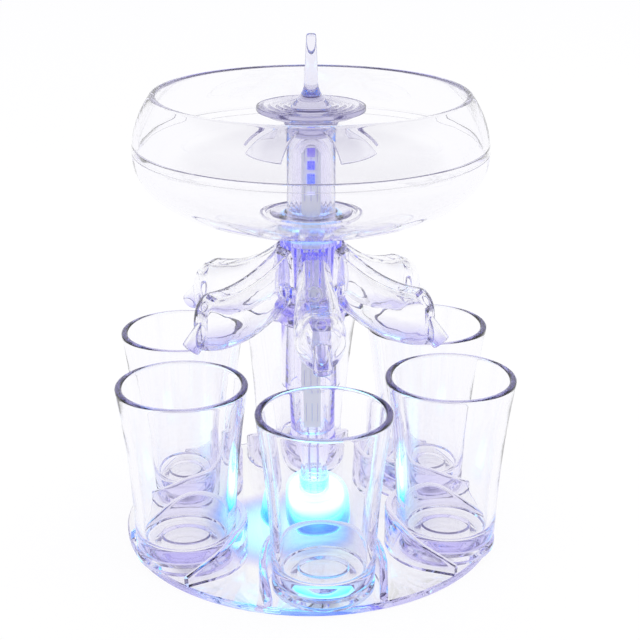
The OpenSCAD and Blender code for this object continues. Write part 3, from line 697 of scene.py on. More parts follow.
def copies(name, piece, angles, finish, heights=None):
    """One mesh with a copy of piece at each angle and height, in place of the piece."""
    mesh = bpy.data.meshes.new(name)
    mesh.from_pydata([(0, 0, z * MM) for z in heights or [0] * len(angles)], [], [])
    mesh.attributes.new(TURN, "FLOAT", "POINT").data.foreach_set("value", angles)
    ring = run_tree(new_object(name, mesh), COPIES_ROUND_AXIS, piece=piece, finish=finish)
    bpy.data.objects.remove(piece)
    return finish_mesh(ring)


# %% [markdown]
# ## Lofts and joins
# A loft joins sections of equal point count into a closed solid. Where two forms are one moulding,
# or a bore goes through, a Boolean joins or cuts them. It needs closed operands and gives a closed
# result, which clear plastic needs: light counts every wall that it meets.

# %% Lofts and joins
def loft(name, sections, finish):
    """A closed solid through sections, each a closed loop of (x, y, z) in millimetres."""
    count = len(sections[0])
    mesh = bpy.data.meshes.new(name)
    points = [tuple(Vector(p) * MM) for section in sections for p in section]
    sides = [(k * count + i, k * count + (i + 1) % count,
              (k + 1) * count + (i + 1) % count, (k + 1) * count + i)
             for k in range(len(sections) - 1) for i in range(count)]
    last = (len(sections) - 1) * count
    caps = [tuple(range(count)), tuple(last + i for i in reversed(range(count)))]
    mesh.from_pydata(points, [], sides + caps)
    mesh.materials.append(finish)
    return finish_mesh(new_object(name, mesh))


def combine(piece, operation, *tools):
    """Joins tools to a piece or cuts them from it, and removes them."""
    for tool in tools:
        modifier = piece.modifiers.new(operation.lower(), "BOOLEAN")
        modifier.operation = operation
        modifier.solver = "MANIFOLD"
        modifier.object = tool
        apply_modifiers(piece)
        bpy.data.objects.remove(tool)
    return finish_mesh(piece)


def tipped(piece, tilt=0.0, place=(0, 0, 0)):
    """Tilts a piece about Y, in degrees, moves it, and keeps its object at the origin."""
    piece.data.transform(Matrix.LocRotScale(
        Vector(place) * MM, Euler((0, math.radians(tilt), 0)), None))
    return piece


def rod(name, radius, length, finish, rounding=0.0):
    """A round rod along Z from the origin, with an optional rounding at its far end."""
    profile = rounded([(0, 0, 0), (radius, 0, 0), (radius, length, rounding), (0, length, 0)])
    return turned(name, profile, finish, steps=64)


# %% [markdown]
# ## The tray
# The plate and its six glass holders are one moulding. A holder is a wall that goes half round the
# glass and runs out in two arms, and its top edge falls towards the arm ends. It is lofted along
# its plan line: every station has the same rounded wall section, with its own height.

# %% Tray with six holders
holder_wall, holder_gap, mouth_gap, arm_in = 3.0, 1.7, 0.4, 0.7
holder_back_h, holder_end_h, holder_slope = 16.8, 3.9, math.radians(26.5)
holder_r = foot_r + holder_gap
mouth_y = foot_r + mouth_gap
arm_end = math.sqrt((plate_r - arm_in) ** 2 - (mouth_y + holder_wall / 2) ** 2) - ring_r
bend_r = 24.0
bend_start = (arm_end - (holder_back_h - holder_end_h) / math.tan(holder_slope)
              - bend_r * math.tan(holder_slope / 2))


def holder_height(x):
    """Height of the wall's top edge at distance x past the glass's middle."""
    if x < bend_start:
        return holder_back_h
    if x < bend_start + bend_r * math.sin(holder_slope):
        return holder_back_h - bend_r + math.sqrt(bend_r ** 2 - (x - bend_start) ** 2)
    return holder_end_h + (arm_end - x) * math.tan(holder_slope)


def wall_section(inner, outer, height):
    """Wall section between two plan points, from 1 mm below the plate's top to a round top edge."""
    half = (outer - inner).length / 2
    centre, across = (inner + outer) / 2, (outer - inner).normalized()
    round_r = 0.85 * half
    flat, side_h = half - round_r, height - round_r
    line = [(-half, -1.0), (half, -1.0), (half, side_h)]
    line += [(flat + round_r * math.cos(a), side_h + round_r * math.sin(a)) for a in quarter(6)[1:-1]]
    line += [(-x, z) for x, z in reversed(line[2:])]
    return [(*(centre + across * x), z + plate_t) for x, z in line]


def holder_stations():
    """Pairs of inner and outer plan points along the wall, from one arm end to the other."""
    arm_steps, back_steps = 15, 48
    pairs = []
    for k in range(arm_steps):
        x = arm_end * (1 - k / arm_steps)
        y = holder_r + (mouth_y - holder_r) * x / arm_end
        pairs.append((Vector((x, y)), Vector((x, y + holder_wall))))
    for k in range(back_steps + 1):
        angle = math.pi / 2 + math.pi * k / back_steps
        out = Vector((math.cos(angle), math.sin(angle)))
        pairs.append((out * holder_r, out * (holder_r + holder_wall)))
    mirrored = [(Vector((a.x, -a.y)), Vector((b.x, -b.y))) for a, b in reversed(pairs[:arm_steps])]
    return pairs + mirrored


def holder():
    sections = []
    for inner, outer in holder_stations():
        section = wall_section(inner, outer, holder_height((inner.x + outer.x) / 2))
        sections.append([(x + ring_r, y, z) for x, y, z in section])
    return loft("holder", sections, CLEAR_TRAY)


hole_r = 17.2
plate_profile = rounded([(hole_r, 0, 0.3), (plate_r, 0, 0.9), (plate_r, plate_t, 0.9),
                         (hole_r, plate_t, 0.3)])
tray = turned("tray", plate_profile, CLEAR_TRAY, steps=256)
walls = copies("holders", holder(), turns, CLEAR_TRAY)
tray = combine(tray, "UNION", walls)
report(tray)

# %% [markdown]
# ## A thread
# The post's neck is screwed into the dome's collar. A thread is a ridge that follows a helix, so a
# tree makes it: a spiral curve, a small round section along it, and a run-out at both ends where
# the section shrinks.

# %% The thread tree
def thread_tree():
    tree, graph, given = new_tree(
        "thread", ("Start", "Geometry"), ("Radius", "Float"), ("Height", "Float"),
        ("Turns", "Float"), ("Ridge", "Float"), ("Foot", "Vector"), ("Finish", "Material"))
    spiral = graph.add("GeometryNodeCurveSpiral", inputs={
        "Resolution": 48, "Rotations": given["Turns"], "Start Radius": given["Radius"],
        "End Radius": given["Radius"], "Height": given["Height"]})
    ridge = graph.add("GeometryNodeCurvePrimitiveCircle", inputs={
        "Resolution": 10, "Radius": given["Ridge"]})
    share = graph.add("GeometryNodeSplineParameter", output="Factor")
    run_out = ((share * math.pi).sin() * 8.0).at_most(1.0).at_least(0.1)
    swept = graph.add("GeometryNodeCurveToMesh", inputs={
        "Curve": spiral, "Profile Curve": ridge, "Scale": run_out, "Fill Caps": True})
    placed = graph.add("GeometryNodeTransform",
                       inputs={"Geometry": swept, "Translation": given["Foot"]})
    end_tree(graph, placed, given["Finish"])
    return tree


THREAD = thread_tree()
print("thread tree of", len(THREAD.nodes), "nodes")

# %% [markdown]
# ## Dome, frosted cap and column post
# The dome over the light is a moulding with a soft shoulder that ends in the collar. The frosted
# cap under it spreads the light of the diodes. The post stands on a cone, its neck goes down into
# the collar, and the ridge of the thread is joined to the neck.

# %% Dome, cap and post
dome_r, dome_top_r, dome_wall, dome_round = 20.8, 18.4, 1.4, 6.0
collar_top_z = high("light_dome").z
dome_top_z = collar_top_z - 5.5
collar_r, neck_r, ridge_r = 8.0, 6.4, 0.42
collar_bore_r = neck_r + ridge_r + 0.15
dome = turned("lamp_dome", rounded([
    (dome_r, plate_t + AIR, 0.4), (dome_top_r, dome_top_z, dome_round), (collar_r, dome_top_z, 0.6),
    (collar_r, collar_top_z, 0.5), (collar_bore_r, collar_top_z, 0.3),
    (collar_bore_r, dome_top_z - dome_wall, 0.3),
    (dome_top_r - dome_wall, dome_top_z - dome_wall, dome_round - dome_wall),
    (dome_r - dome_wall, plate_t + AIR, 0.3)], steps=10), LIT_DOME)

cap_r, cap_wall, cap_hole_r = 16.3, 0.9, 3.4
cap_low, cap_high = diffuser_box
frosted = turned("frosted_light_cap", rounded([
    (cap_r, cap_low, 0.2), (cap_r, cap_high, 4.0), (cap_hole_r, cap_high, 0.2),
    (cap_hole_r, cap_high - cap_wall, 0.2), (cap_r - cap_wall, cap_high - cap_wall, 3.1),
    (cap_r - cap_wall, cap_low, 0.2)], steps=8), FROSTED)

post_r, post_wall, post_bore_r = 9.8, 1.6, 5.45
neck_bore_r = 4.6
neck_z = low("column_post").z
cone_z = collar_top_z + 5.5
post_foot_z = cone_z + 11
post_top = hub_z - AIR
post = turned("post", rounded([
    (neck_bore_r, neck_z, 0.2), (neck_r, neck_z, 0.5), (neck_r, cone_z, 1.2),
    (post_r + 0.6, post_foot_z, 0.5), (post_r + 0.6, post_foot_z + 1.2, 0.4),
    (post_r, post_foot_z + 1.6, 0.3), (post_r, post_top, 0.4), (post_bore_r, post_top, 0.3),
    (post_bore_r, post_top - 3, 0.3), (post_r - post_wall, post_top - 4.5, 0.5),
    (post_r - post_wall, post_foot_z + 4, 0.8), (post_bore_r, post_foot_z + 4, 0.4),
    (post_bore_r, post_foot_z + 1, 0.2), (neck_bore_r, post_foot_z + 1, 0.2)]), CLEAR_COLUMN)
thread_turns, thread_l, thread_z = 6.0, cone_z - neck_z - 2.4, neck_z + 1.0
ridge = run_tree(new_object("thread_ridge", bpy.data.meshes.new("thread_ridge")), THREAD,
                 radius=neck_r * MM, height=thread_l * MM, turns=thread_turns, ridge=ridge_r * MM,
                 foot=Vector((0, 0, thread_z)) * MM, finish=CLEAR_COLUMN)
post = combine(post, "UNION", finish_mesh(ridge))
report(dome, frosted, post)

# %% [markdown]
# ## Light tube, chimney and sleeve
# Three tubes stand one in the other: the light tube with its narrow board, the dry chimney of the
# bowl round it, and the sleeve that slides over the post. Each ends in a closed dome or a rounded
# edge, because a square edge on clear plastic looks like a cut-out.

# %% Tubes of the column
def domed_tube(name, radius, wall, bottom, top, flange=()):
    """A tube with a closed round top. flange holds extra corners at its foot."""
    bore, centre_z = radius - wall, top - radius
    inner = [(bore * math.sin(a), centre_z + bore * math.cos(a), 0) for a in quarter(12)]
    outer = [(radius * math.cos(a), centre_z + radius * math.sin(a), 0) for a in quarter(12)]
    foot = list(flange) or [(radius, bottom, 0.25)]
    profile = rounded([*inner, (bore, bottom, 0.25), *foot, *outer])
    return turned(name, profile, CLEAR_COLUMN, steps=128)


tube_r, tube_wall = high("light_tube").x, 0.9
light_tube = domed_tube("inner_light_tube", tube_r - 0.02, tube_wall, low("light_tube").z + AIR,
                        belly_z)
chimney_r, chimney_wall = 7.4, 1.2
chimney_top = high("chimney").z
chimney_z = low("chimney").z + AIR
chimney = domed_tube("dry_tube", chimney_r, chimney_wall, chimney_z, chimney_top, [
    (high("chimney").x, chimney_z, 0.2), (high("chimney").x, chimney_z + 1.2, 0.3),
    (chimney_r, chimney_z + 1.2, 0.4)])
sleeve_r, sleeve_in = high("column_sleeve").x, post_r + 0.3
sleeve_z = low("column_sleeve").z
sleeve = turned("sliding_sleeve", rounded([
    (sleeve_in, sleeve_z, 0.3), (sleeve_r, sleeve_z, 0.5), (sleeve_r, hub_z - AIR, 0.3),
    (sleeve_in, hub_z - AIR, 0.3)]), CLEAR_COLUMN)
report(light_tube, chimney, sleeve)

# %% [markdown]
# ## The light stick
# Inside the light tube stands a narrow white board with small diodes, each a square package with a
# round lens. In the photo the lit ones shine deep blue near the top, and the lowest is out. One
# diode is drawn and repeated up the board, and the colour of each follows from its height.

# %% Narrow board and diodes
stick_low, stick_high = low("stick_board"), high("stick_board")
stick_half_w, stick_t = stick_high.x, stick_high.y - stick_low.y
lens_r, package, package_t, package_edge, diode_pitch, DIODES = 1.0, 2.8, 0.8, 0.2, 4.5, 4
lowest_diode_z = low("stick_leds").z + package / 2
diode_heights = [lowest_diode_z + diode_pitch * k for k in range(DIODES)]
stick_top_z = diode_heights[-1] + package / 2
DIODE = glowing("lit_diode", 1.0, by_height(
    diode_heights[0], stick_top_z, (0.0, (0.60, 0.62, 0.95)), (0.2, (0.60, 0.62, 0.95)),
    (0.24, (0.02, 0.10, 0.95)), (0.5, (0.01, 0.03, 0.85)), (0.75, (0.02, 0.02, 0.80)),
    (0.80, (0.16, 0.12, 0.62)), (1.0, (0.16, 0.12, 0.62))), haze=0.0)


def stick_plan(inset=0.0):
    """Outline of the board from the front: its top corners are cut to fit the round tube end."""
    half, cut = stick_half_w - inset, 1.9
    top, bottom = stick_top_z - inset, stick_low.z + inset
    return [(-half, bottom), (half, bottom), (half, top - cut), (half - cut, top),
            (cut - half, top), (-half, top - cut)]


edge, stick_face = 0.12, stick_t / 2
layers = ((-stick_face, edge), (edge - stick_face, 0), (stick_face - edge, 0), (stick_face, edge))
narrow_board = loft("narrow_board", [[(x, y, z) for x, z in stick_plan(inset)]
                                     for y, inset in layers], BOARD)


def diode():
    """A package with bevelled edges and a domed lens, facing the front, at height 0."""
    half, front = package / 2, -stick_face - package_t
    layers = ((-stick_face, half), (front + package_edge, half), (front, half - package_edge))
    body = loft("diode", [[(-h, y, -h), (h, y, -h), (h, y, h), (-h, y, h)] for y, h in layers], DIODE)
    lens_profile = rounded([(0, 0, 0), (lens_r, 0, 0), (lens_r, 0.15, 0.1), (0, 0.5, 0)])
    lens = turned("lens", lens_profile, DIODE, steps=32)
    lens.data.transform(Matrix.Translation((0, (front + 0.1) * MM, 0))
                        @ Euler((math.radians(90), 0, 0)).to_matrix().to_4x4())
    return combine(body, "UNION", lens)


diodes = copies("stick_diodes", diode(), [0.0] * DIODES, DIODE, heights=diode_heights)
report(narrow_board, diodes)

# %% [markdown]
# ## The hub
# The hub shares the drink between the spouts. In the photo it looks like cut crystal: its inside is
# ribbed, and each rib bends the light of the column by itself. The ribs are the flutes of the
# turning tree, on the inner wall only, and six ports are cut through for the spigots.

# %% Hub with ribs and ports
hub_r, hub_bore_r, hub_collar_r = 11.9, 10.2, high("hub").x
port_z, port_r = hub_z + 9.5, 3.3
hub_bore_top, hub_floor_z = hub_top_z - 5.4, hub_z + 3
rib_wall_r = hub_bore_r - 0.35


def on_ribbed_wall(radius, height):
    return hub_bore_r - 0.7 < radius < hub_bore_r and hub_floor_z + 1.5 < height < hub_bore_top


hub = turned("ribbed_hub", rounded([
    (6.0, hub_z, 0.3), (sleeve_r + 0.05, hub_z, 0), (sleeve_r + 0.05, hub_z - 4, 0.2),
    (hub_collar_r, hub_z - 4, 0.5), (hub_collar_r, hub_z + 1, 0.5), (hub_r, hub_z + 2.5, 0.5),
    (hub_r, hub_top_z, 0.3), (hub_bore_r, hub_top_z, 0.2), (hub_bore_r, hub_bore_top, 0.2),
    (rib_wall_r, hub_bore_top - 0.6, 0), (rib_wall_r, hub_floor_z + 2.4, 0),
    (hub_bore_r, hub_floor_z + 1.2, 0.2), (hub_bore_r, hub_floor_z, 0.2), (6.0, hub_floor_z, 0.3)]),
    CLEAR_HUB, steps=288, flutes=24, flute_depth=0.3, fluted=on_ribbed_wall)


def rod_outwards(name, radius, start, length, finish):
    """A rod that runs outwards at the height of the ports."""
    return tipped(rod(name, radius, length, finish), 90, (start, 0, port_z))


ports = copies("ports", rod_outwards("port", port_r, hub_bore_r - 2, 6, CLEAR_HUB), turns, CLEAR_HUB)
hub = combine(hub, "DIFFERENCE", ports)
report(hub)

# %% [markdown]
# ## The petal spouts
# Each spout is a hollow petal. Seen from above it swells to its widest near the nose, its keel
# falls from the hub to the glass, and a flat strip runs along its ridge. All of that follows a few
# formulas over the way u from root to nose, so the petal is a loft whose stations crowd where the
# nose turns. The hollow is the same loft drawn in by the wall.

# %% Petal formulas
keel_z, ridge_z = rim_z + 10.8, rim_z + 31.8
root_r, nose_r = 12.2, 49.5
root_half_w, spout_half_w, strip_half_w, nose_bow = 6.3, 9.5, 4.0, 0.25
widest, bulge, keel_rise, ridge_rise, nose_drop, nose_lift = 0.8, 0.5, 11.2, 13.0, 3.0, 1.0
spout_wall, strip_ledge, shoulder_r, slot_end, belly_power = 1.5, 0.8, 6.0, 44.4, 2 / 2.2


def past(u):
    return max(0.0, (u - widest) / (1 - widest))


def before(u):
    return max(0.0, 1 - u / widest)


def half_width(u):
    if u < widest:
        return root_half_w + (spout_half_w - root_half_w) * math.sin(math.pi / 2 * u / widest)
    nose = strip_half_w + nose_bow
    return nose + (spout_half_w - nose) * math.sqrt(max(0.0, 1 - past(u) ** 2))


def keel(u):
    return keel_z + keel_rise * before(u) ** 2 + nose_lift * past(u) ** 2


def ridge_line(x):
    """Height of the ridge at distance x from the axis. Over the nose it falls in an arc."""
    u = (x - root_r) / (nose_r - root_r)
    over = max(0.0, x - (nose_r - shoulder_r))
    shoulder = shoulder_r - math.sqrt(max(0.0, shoulder_r ** 2 - over ** 2))
    return ridge_z + ridge_rise * before(u) ** 2 - nose_drop * past(u) ** 2 - shoulder


STATIONS = ([widest * k / 26 for k in range(27)]
            + [widest + (1 - widest) * math.sin(a) for a in quarter(14)[1:]])


def petal_side(width, strip):
    """Points (half width, share of the height) from the keel up to the strip."""
    lower = [(width * math.sin(a) ** belly_power, bulge * (1 - math.cos(a) ** belly_power))
             for a in quarter(12)[1:]]
    upper = [(strip + (width - strip) * math.cos(a), bulge + (1 - bulge) * math.sin(a))
             for a in quarter(10)[1:]]
    return lower + upper


def petal_section(u, inset):
    """One section across a petal. A hollow goes on upwards through the strip, up to the nose."""
    hollow = inset > 0
    x = root_r + inset + (nose_r - root_r - 2 * inset) * u
    strip = strip_half_w - (strip_ledge if hollow else 0)
    width = max(half_width(u) - inset, strip + nose_bow)
    bottom = keel(u) + inset
    rise = ridge_line(x) - inset - bottom
    side = [(w, bottom + rise * share) for w, share in petal_side(width, strip)]
    if hollow:
        side.append((strip, ridge_line(x) + (inset if x < slot_end else 0.05 - inset)))
    return [(x, -w, z) for w, z in reversed(side)] + [(x, 0, bottom)] + [(x, w, z) for w, z in side]


# %% [markdown]
# ## Petal, nozzle and moulding marks
# A spigot at the root plugs into the hub, and a nozzle leaves under the nose. Two moulding marks
# show in the photo: a low bar across the flat strip, and the ring of an ejector pin on the nose's
# shoulder. They are small, but on clear plastic they are what tells the eye that a surface is there.

# %% Petal, nozzle, spigot and pin mark
mark_x, mark_h = nose_r - 1.9, 0.3


def on_ridge(piece, x):
    """Moves a piece to the ridge at distance x and tilts it with the slope there."""
    slope = math.atan2(ridge_line(x + 0.1) - ridge_line(x - 0.1), 0.2)
    return tipped(piece, -math.degrees(slope), (x, 0, ridge_line(x)))


def pin_mark():
    """The ring that an ejector pin leaves, sunk a little so that it meets a curved surface."""
    ring = rounded([(1.7, -0.7, 0), (2.3, -0.7, 0), (2.2, mark_h, 0.15), (1.8, mark_h, 0.15)])
    return turned("pin_mark", ring, CLEAR_SPOUT, steps=48)


nozzle_r, nozzle_bore_r, nozzle_tilt, nozzle_l = 3.6, 2.4, 90 + 48, 10.0
nozzle_tip = Vector((ring_r - 4.0, 0, keel_z + 1.8))
nozzle_axis = Vector((math.sin(math.radians(nozzle_tilt)), 0, math.cos(math.radians(nozzle_tilt))))
spigot_bore_r, spigot_l = 2.4, root_r - hub_bore_r + 1


def along_nozzle(name, radius, length, back, rounding=0.0):
    """A rod on the nozzle's axis that starts this far before the nozzle's tip."""
    piece = rod(name, radius, length, CLEAR_SPOUT, rounding)
    return tipped(piece, nozzle_tilt, nozzle_tip - nozzle_axis * back)


def spout():
    petal = bevelled(loft("petal", [petal_section(u, 0) for u in STATIONS], CLEAR_SPOUT), 0.9, 4, 35)
    hollow = loft("hollow", [petal_section(u, spout_wall) for u in STATIONS], CLEAR_SPOUT)
    spigot = rod_outwards("spigot", port_r - 0.05, hub_bore_r, spigot_l, CLEAR_SPOUT)
    spigot_bore = rod_outwards("spigot_bore", spigot_bore_r, hub_bore_r - 1, spigot_l + 3, CLEAR_SPOUT)
    combine(petal, "UNION", spigot, along_nozzle("nozzle", nozzle_r, nozzle_l, nozzle_l, 1.0),
            on_ridge(pin_mark(), mark_x))
    return combine(petal, "DIFFERENCE", hollow, spigot_bore,
                   along_nozzle("nozzle_bore", nozzle_bore_r, nozzle_l + 3, nozzle_l + 1))


spouts = copies("petal_spouts", spout(), turns, CLEAR_SPOUT)
report(spouts)

# %% [markdown]
# ## The lids of the spouts
# The flat strip that closes a spout is a piece of its own, set into the ridge with a hair of air
# round it. That air gives the two fine lines along each ridge, and the strip carries the low bar.

# %% Spout lids with their bar
lid_gap = 0.08
lid_start, lid_end = root_r + spout_wall + lid_gap, slot_end - 0.5
bar_x, bar_half_w, bar_t = 38.6, 2.6, 0.6


def lid_section(u):
    half = strip_half_w - strip_ledge - lid_gap
    x = lid_start + (lid_end - lid_start) * u
    z = ridge_line(x)
    return [(x, -half, z), (x, -half, z - spout_wall), (x, half, z - spout_wall), (x, half, z)]


def spout_lid():
    lid = loft("lid", [lid_section(u) for u in STATIONS], CLEAR_SPOUT)
    bar = loft("bar", [[(x, -bar_half_w, -0.4), (x, bar_half_w, -0.4), (x, bar_half_w - 0.2, mark_h),
                        (x, 0.2 - bar_half_w, mark_h)] for x in (-bar_t, bar_t)], CLEAR_SPOUT)
    return combine(lid, "UNION", on_ridge(bar, bar_x))


lids = copies("spout_lids", spout_lid(), turns, CLEAR_SPOUT)
report(lids)

# %% [markdown]
# ## The bowl
# The bowl is two shells with a lap joint at the widest line. The joint is real: its thin gap of air
# gives the two fine lines that the photo shows round the belly. The lower shell follows a
# superellipse and ends in a boss with a sunk seat for the stopper. The upper ring draws in to a
# rolled rim.

# %% Bowl
bowl_wall, bowl_floor_t, bowl_power, bowl_top_axis, lap_h = 2.4, 2.0, 2.32, 45.5, 2.6
boss_r, shell_z = 19.5, bowl_z + 1.6
bowl_low_h = belly_z - shell_z
sump_r = boss_r - bowl_floor_t
spigot_r = hub_bore_r - 0.1
outlet_r = spigot_r - 1.2
join_r = bowl_r - bowl_wall / 2


def shell_curve(inset, drop, from_r):
    """The lower shell's curve from the widest line in to a radius."""
    points = []
    for angle in quarter(48):
        r = (bowl_r - inset) * math.cos(angle) ** (2 / bowl_power)
        z = belly_z - (bowl_low_h - drop) * math.sin(angle) ** (2 / bowl_power)
        if r > from_r + 0.8:
            points.append((r, z, 0))
    return points


def shell_height(r, inset, drop):
    """Height of the lower shell's curve at a radius."""
    share = (1 - (r / (bowl_r - inset)) ** bowl_power) ** (1 / bowl_power)
    return belly_z - (bowl_low_h - drop) * share


bowl_lower = turned("bowl_lower_shell", rounded([
    (bowl_r - bowl_wall, belly_z + lap_h, 0.3), (join_r - 0.05, belly_z + lap_h, 0.3),
    (join_r - 0.05, belly_z, 0.1), *shell_curve(0, 0, boss_r),
    (boss_r, shell_height(boss_r, 0, 0), 0.5), (boss_r, bowl_z, 0.5), (spigot_r, bowl_z, 0.2),
    (spigot_r, bowl_z - 4.6, 0.4), (outlet_r, bowl_z - 4.6, 0.4), (outlet_r, seat_z, 0.3),
    (sump_r, seat_z, 0.6), (sump_r, shell_height(sump_r, bowl_wall, bowl_floor_t), 0.6),
    *reversed(shell_curve(bowl_wall, bowl_floor_t, sump_r))]), CLEAR, steps=288)


def ring_radius(z, inset=0.0):
    """Radius of the upper ring at a height: it draws in along an ellipse."""
    return bowl_r * math.sqrt(1 - ((z - belly_z) / bowl_top_axis) ** 2) - inset


ring_z = belly_z + 0.02
ring_rises = [ring_z + (bowl_rim_z - 1.6 - belly_z) * k / 24 for k in range(25)]
bowl_ring = turned("bowl_upper_ring", rounded([
    (join_r, ring_z, 0.1), *[(ring_radius(z), z, 0) for z in ring_rises],
    (ring_radius(bowl_rim_z), bowl_rim_z, 1.15),
    (ring_radius(bowl_rim_z, bowl_wall), bowl_rim_z, 1.15),
    *[(ring_radius(z, bowl_wall), z, 0) for z in reversed(ring_rises) if z > belly_z + lap_h + 1],
    (ring_radius(belly_z + lap_h, bowl_wall), belly_z + lap_h + 0.05, 0.1),
    (join_r, belly_z + lap_h + 0.05, 0.1)]), CLEAR, steps=288)
washer_r = high("bowl_gasket").x
gasket = turned("bowl_washer", rounded([
    (washer_r, hub_top_z + AIR, 0.1), (washer_r, bowl_z - AIR, 0.1),
    (spigot_r + 0.2, bowl_z - AIR, 0.1), (spigot_r + 0.2, hub_top_z + AIR, 0.1)]), LIT_WASHER)
report(bowl_lower, bowl_ring, gasket)

# %% [markdown]
# ## The stopper
# The stopper is lifted by its pin. Its sleeve slides over the dry tube, a foot with a silicone ring
# closes the outlet, and a rippled disc with a cone and pin caps it. All of it is turned. The
# ripples are a cosine over the radius, so they end smoothly at the rim and at the cone.

# %% Seal, sleeve and cap
valve_in, valve_r, valve_foot_r = 8.1, 9.2, 16.0
foot_z = high("valve_seal").z + AIR
collar_z = high("valve_sleeve").z
seal = turned("foot_seal", rounded([
    (outlet_r + 0.3, seat_z + AIR, 0.15), (valve_foot_r - 1, seat_z + AIR, 0.15),
    (valve_foot_r - 1, foot_z - 2 * AIR, 0.15), (outlet_r + 0.3, foot_z - 2 * AIR, 0.15)]), CLEAR_SEAL)
valve = turned("stopper_sleeve", rounded([
    (valve_in, foot_z, 0.3), (valve_foot_r, foot_z, 0.5), (valve_foot_r, foot_z + 1.4, 0.5),
    (valve_r, foot_z + 1.4, 1.5), (valve_r, collar_z - AIR, 0.2), (valve_in, collar_z - AIR, 0.2)]),
    CLEAR_STOPPER)

disc_edge_r = high("stopper_cap").x
disc_z, disc_t, ripples = collar_z + 4.6, 4.0, 4
pin_top_z = high("stopper_cap").z
disc_top = disc_z + disc_t
pin_z, pin_low_r, pin_top_r = disc_top + 8.5, 2.6, 1.8
cone_r, cap_cone_z = 6.4, disc_top + 1.2
ripple_in, ripple_out, ripple_h = 7.6, disc_edge_r - 1.2, 0.22


def ripple_line():
    """Height of the disc's top from its edge in to the cone: four low waves."""
    count = ripples * 10
    line = []
    for k in range(count + 1):
        r = ripple_out - (ripple_out - ripple_in) * k / count
        line.append((r, disc_top - 0.2 - ripple_h * math.cos(math.tau * ripples * k / count), 0))
    return line


cone_line = [(pin_low_r + (cone_r - pin_low_r) * (1 - k / 12) ** 2.2,
              cap_cone_z + (pin_z - cap_cone_z) * k / 12, 0) for k in range(13)]
plug_r, plug_z, throat_r = valve_in - 0.05, chimney_top + 1.4, valve_r - 0.8
cap = turned("stopper_disc_and_pin", rounded([
    (0, plug_z, 0), (plug_r, plug_z, 0.5), (plug_r, collar_z, 0), (valve_r, collar_z, 0.2),
    (valve_r + 1.1, collar_z + 2.2, 0.3), (throat_r, collar_z + 3, 0.4), (throat_r, disc_z, 0.5),
    (disc_edge_r - 3.6, disc_z + 0.3, 1.5), (disc_edge_r, disc_z + 2.0, 0.5),
    (disc_edge_r, disc_top, 0.9), *ripple_line(), (cone_r + 0.6, cap_cone_z - 1.0, 0.4), *cone_line,
    (pin_top_r, pin_top_z, 1.75), (0, pin_top_z, 0)]), CLEAR_STOPPER, steps=192)
report(seal, valve, cap)

# %% [markdown]
# ## The splash leaves
# Four leaves on a collar keep the drink from splashing when the stopper drops. The photo shows them
# as thin curved sheets whose edges draw dark lines, at uneven turns. A leaf is a loft of thin arcs
# over its width, and the tree for copies sets four of them round the collar.

# %% Splash guard
guard_collar_r, guard_collar_t, guard_t = 10.4, 2.2, 1.0
guard_top = collar_z - 0.3
guard_r, leaf_root_r, guard_drop = 26.0, 9.8, 8.2
reach = guard_r - leaf_root_r
leaf_curve_r = (reach ** 2 + guard_drop ** 2) / (2 * guard_drop)
tip_angle = math.asin(reach / leaf_curve_r)
LEAF_STARTS = [10, 125, 200, 295]
LEAF_DEG = 45


def leaf():
    """One curved leaf as a loft of thin arcs over its width, from angle 0."""
    arc_steps, width_steps = 14, 16
    arcs = [tip_angle * k / arc_steps for k in range(arc_steps + 1)]
    centre_z = guard_top - leaf_curve_r
    line = []
    for curve_r, angles in ((leaf_curve_r, arcs), (leaf_curve_r - guard_t, reversed(arcs))):
        line += [(leaf_root_r + curve_r * math.sin(a), centre_z + curve_r * math.cos(a)) for a in angles]
    sections = []
    for k in range(width_steps + 1):
        turn = math.radians(LEAF_DEG * k / width_steps)
        sections.append([(r * math.cos(turn), r * math.sin(turn), z) for r, z in line])
    return bevelled(loft("leaf", sections, CLEAR_STOPPER), 0.22, 2, 50)


leaves = copies("leaves", leaf(), [math.radians(a) for a in LEAF_STARTS], CLEAR_STOPPER)
collar_foot_z = collar_z - guard_collar_t
guard = turned("guard_collar", rounded([
    (valve_r + 0.05, collar_foot_z, 0.2), (guard_collar_r, collar_foot_z, 0.4),
    (guard_collar_r, collar_z - AIR, 0.3), (valve_r + 0.05, collar_z - AIR, 0.2)]), CLEAR_STOPPER)
guard = combine(guard, "UNION", leaves)
guard.name = "splash_leaves"
report(guard)

# %% [markdown]
# ## Riding and replacing
# Every new piece rides on the body that carries it and stands for the nodes that it replaces. That
# keeps the picture and the construction in step: lift the head, and all its pieces follow.

# %% Bodies, replaced nodes and slots
fittings = [
    (tray, "base", "clear_tray", ["base_tray"]), (dome, "base", "clear_dome", ["light_dome"]),
    (frosted, "base", "frosted", ["light_diffuser"]), (post, "base", "clear_column", ["column_post"]),
    (light_tube, "base", "clear_column", ["light_tube"]),
    (narrow_board, "base", "board_white", ["stick_board"]),
    (diodes, "base", "led_blue", ["stick_leds"]),
    (sleeve, "head", "clear_column", ["column_sleeve"]), (hub, "head", "clear_hub", ["hub"]),
    (chimney, "head", "clear_column", ["chimney"]), (spouts, "head", "clear_spout", numbered("spout")),
    (lids, "head", "clear_spout", numbered("spout_lid")),
    (bowl_lower, "head", "clear_bowl", ["bowl_lower"]),
    (bowl_ring, "head", "clear_bowl", ["bowl_ring"]), (gasket, "head", "seal_silicone", ["bowl_gasket"]),
    (seal, "stopper", "seal_silicone", ["valve_seal"]),
    (valve, "stopper", "clear_stopper", ["valve_sleeve"]),
    (guard, "stopper", "clear_stopper", ["splash_guard"]),
    (cap, "stopper", "clear_stopper", ["stopper_cap"]),
    *[(glass, node, "clear_glass", [node]) for glass, node in zip(glasses, numbered("glass"))],
]
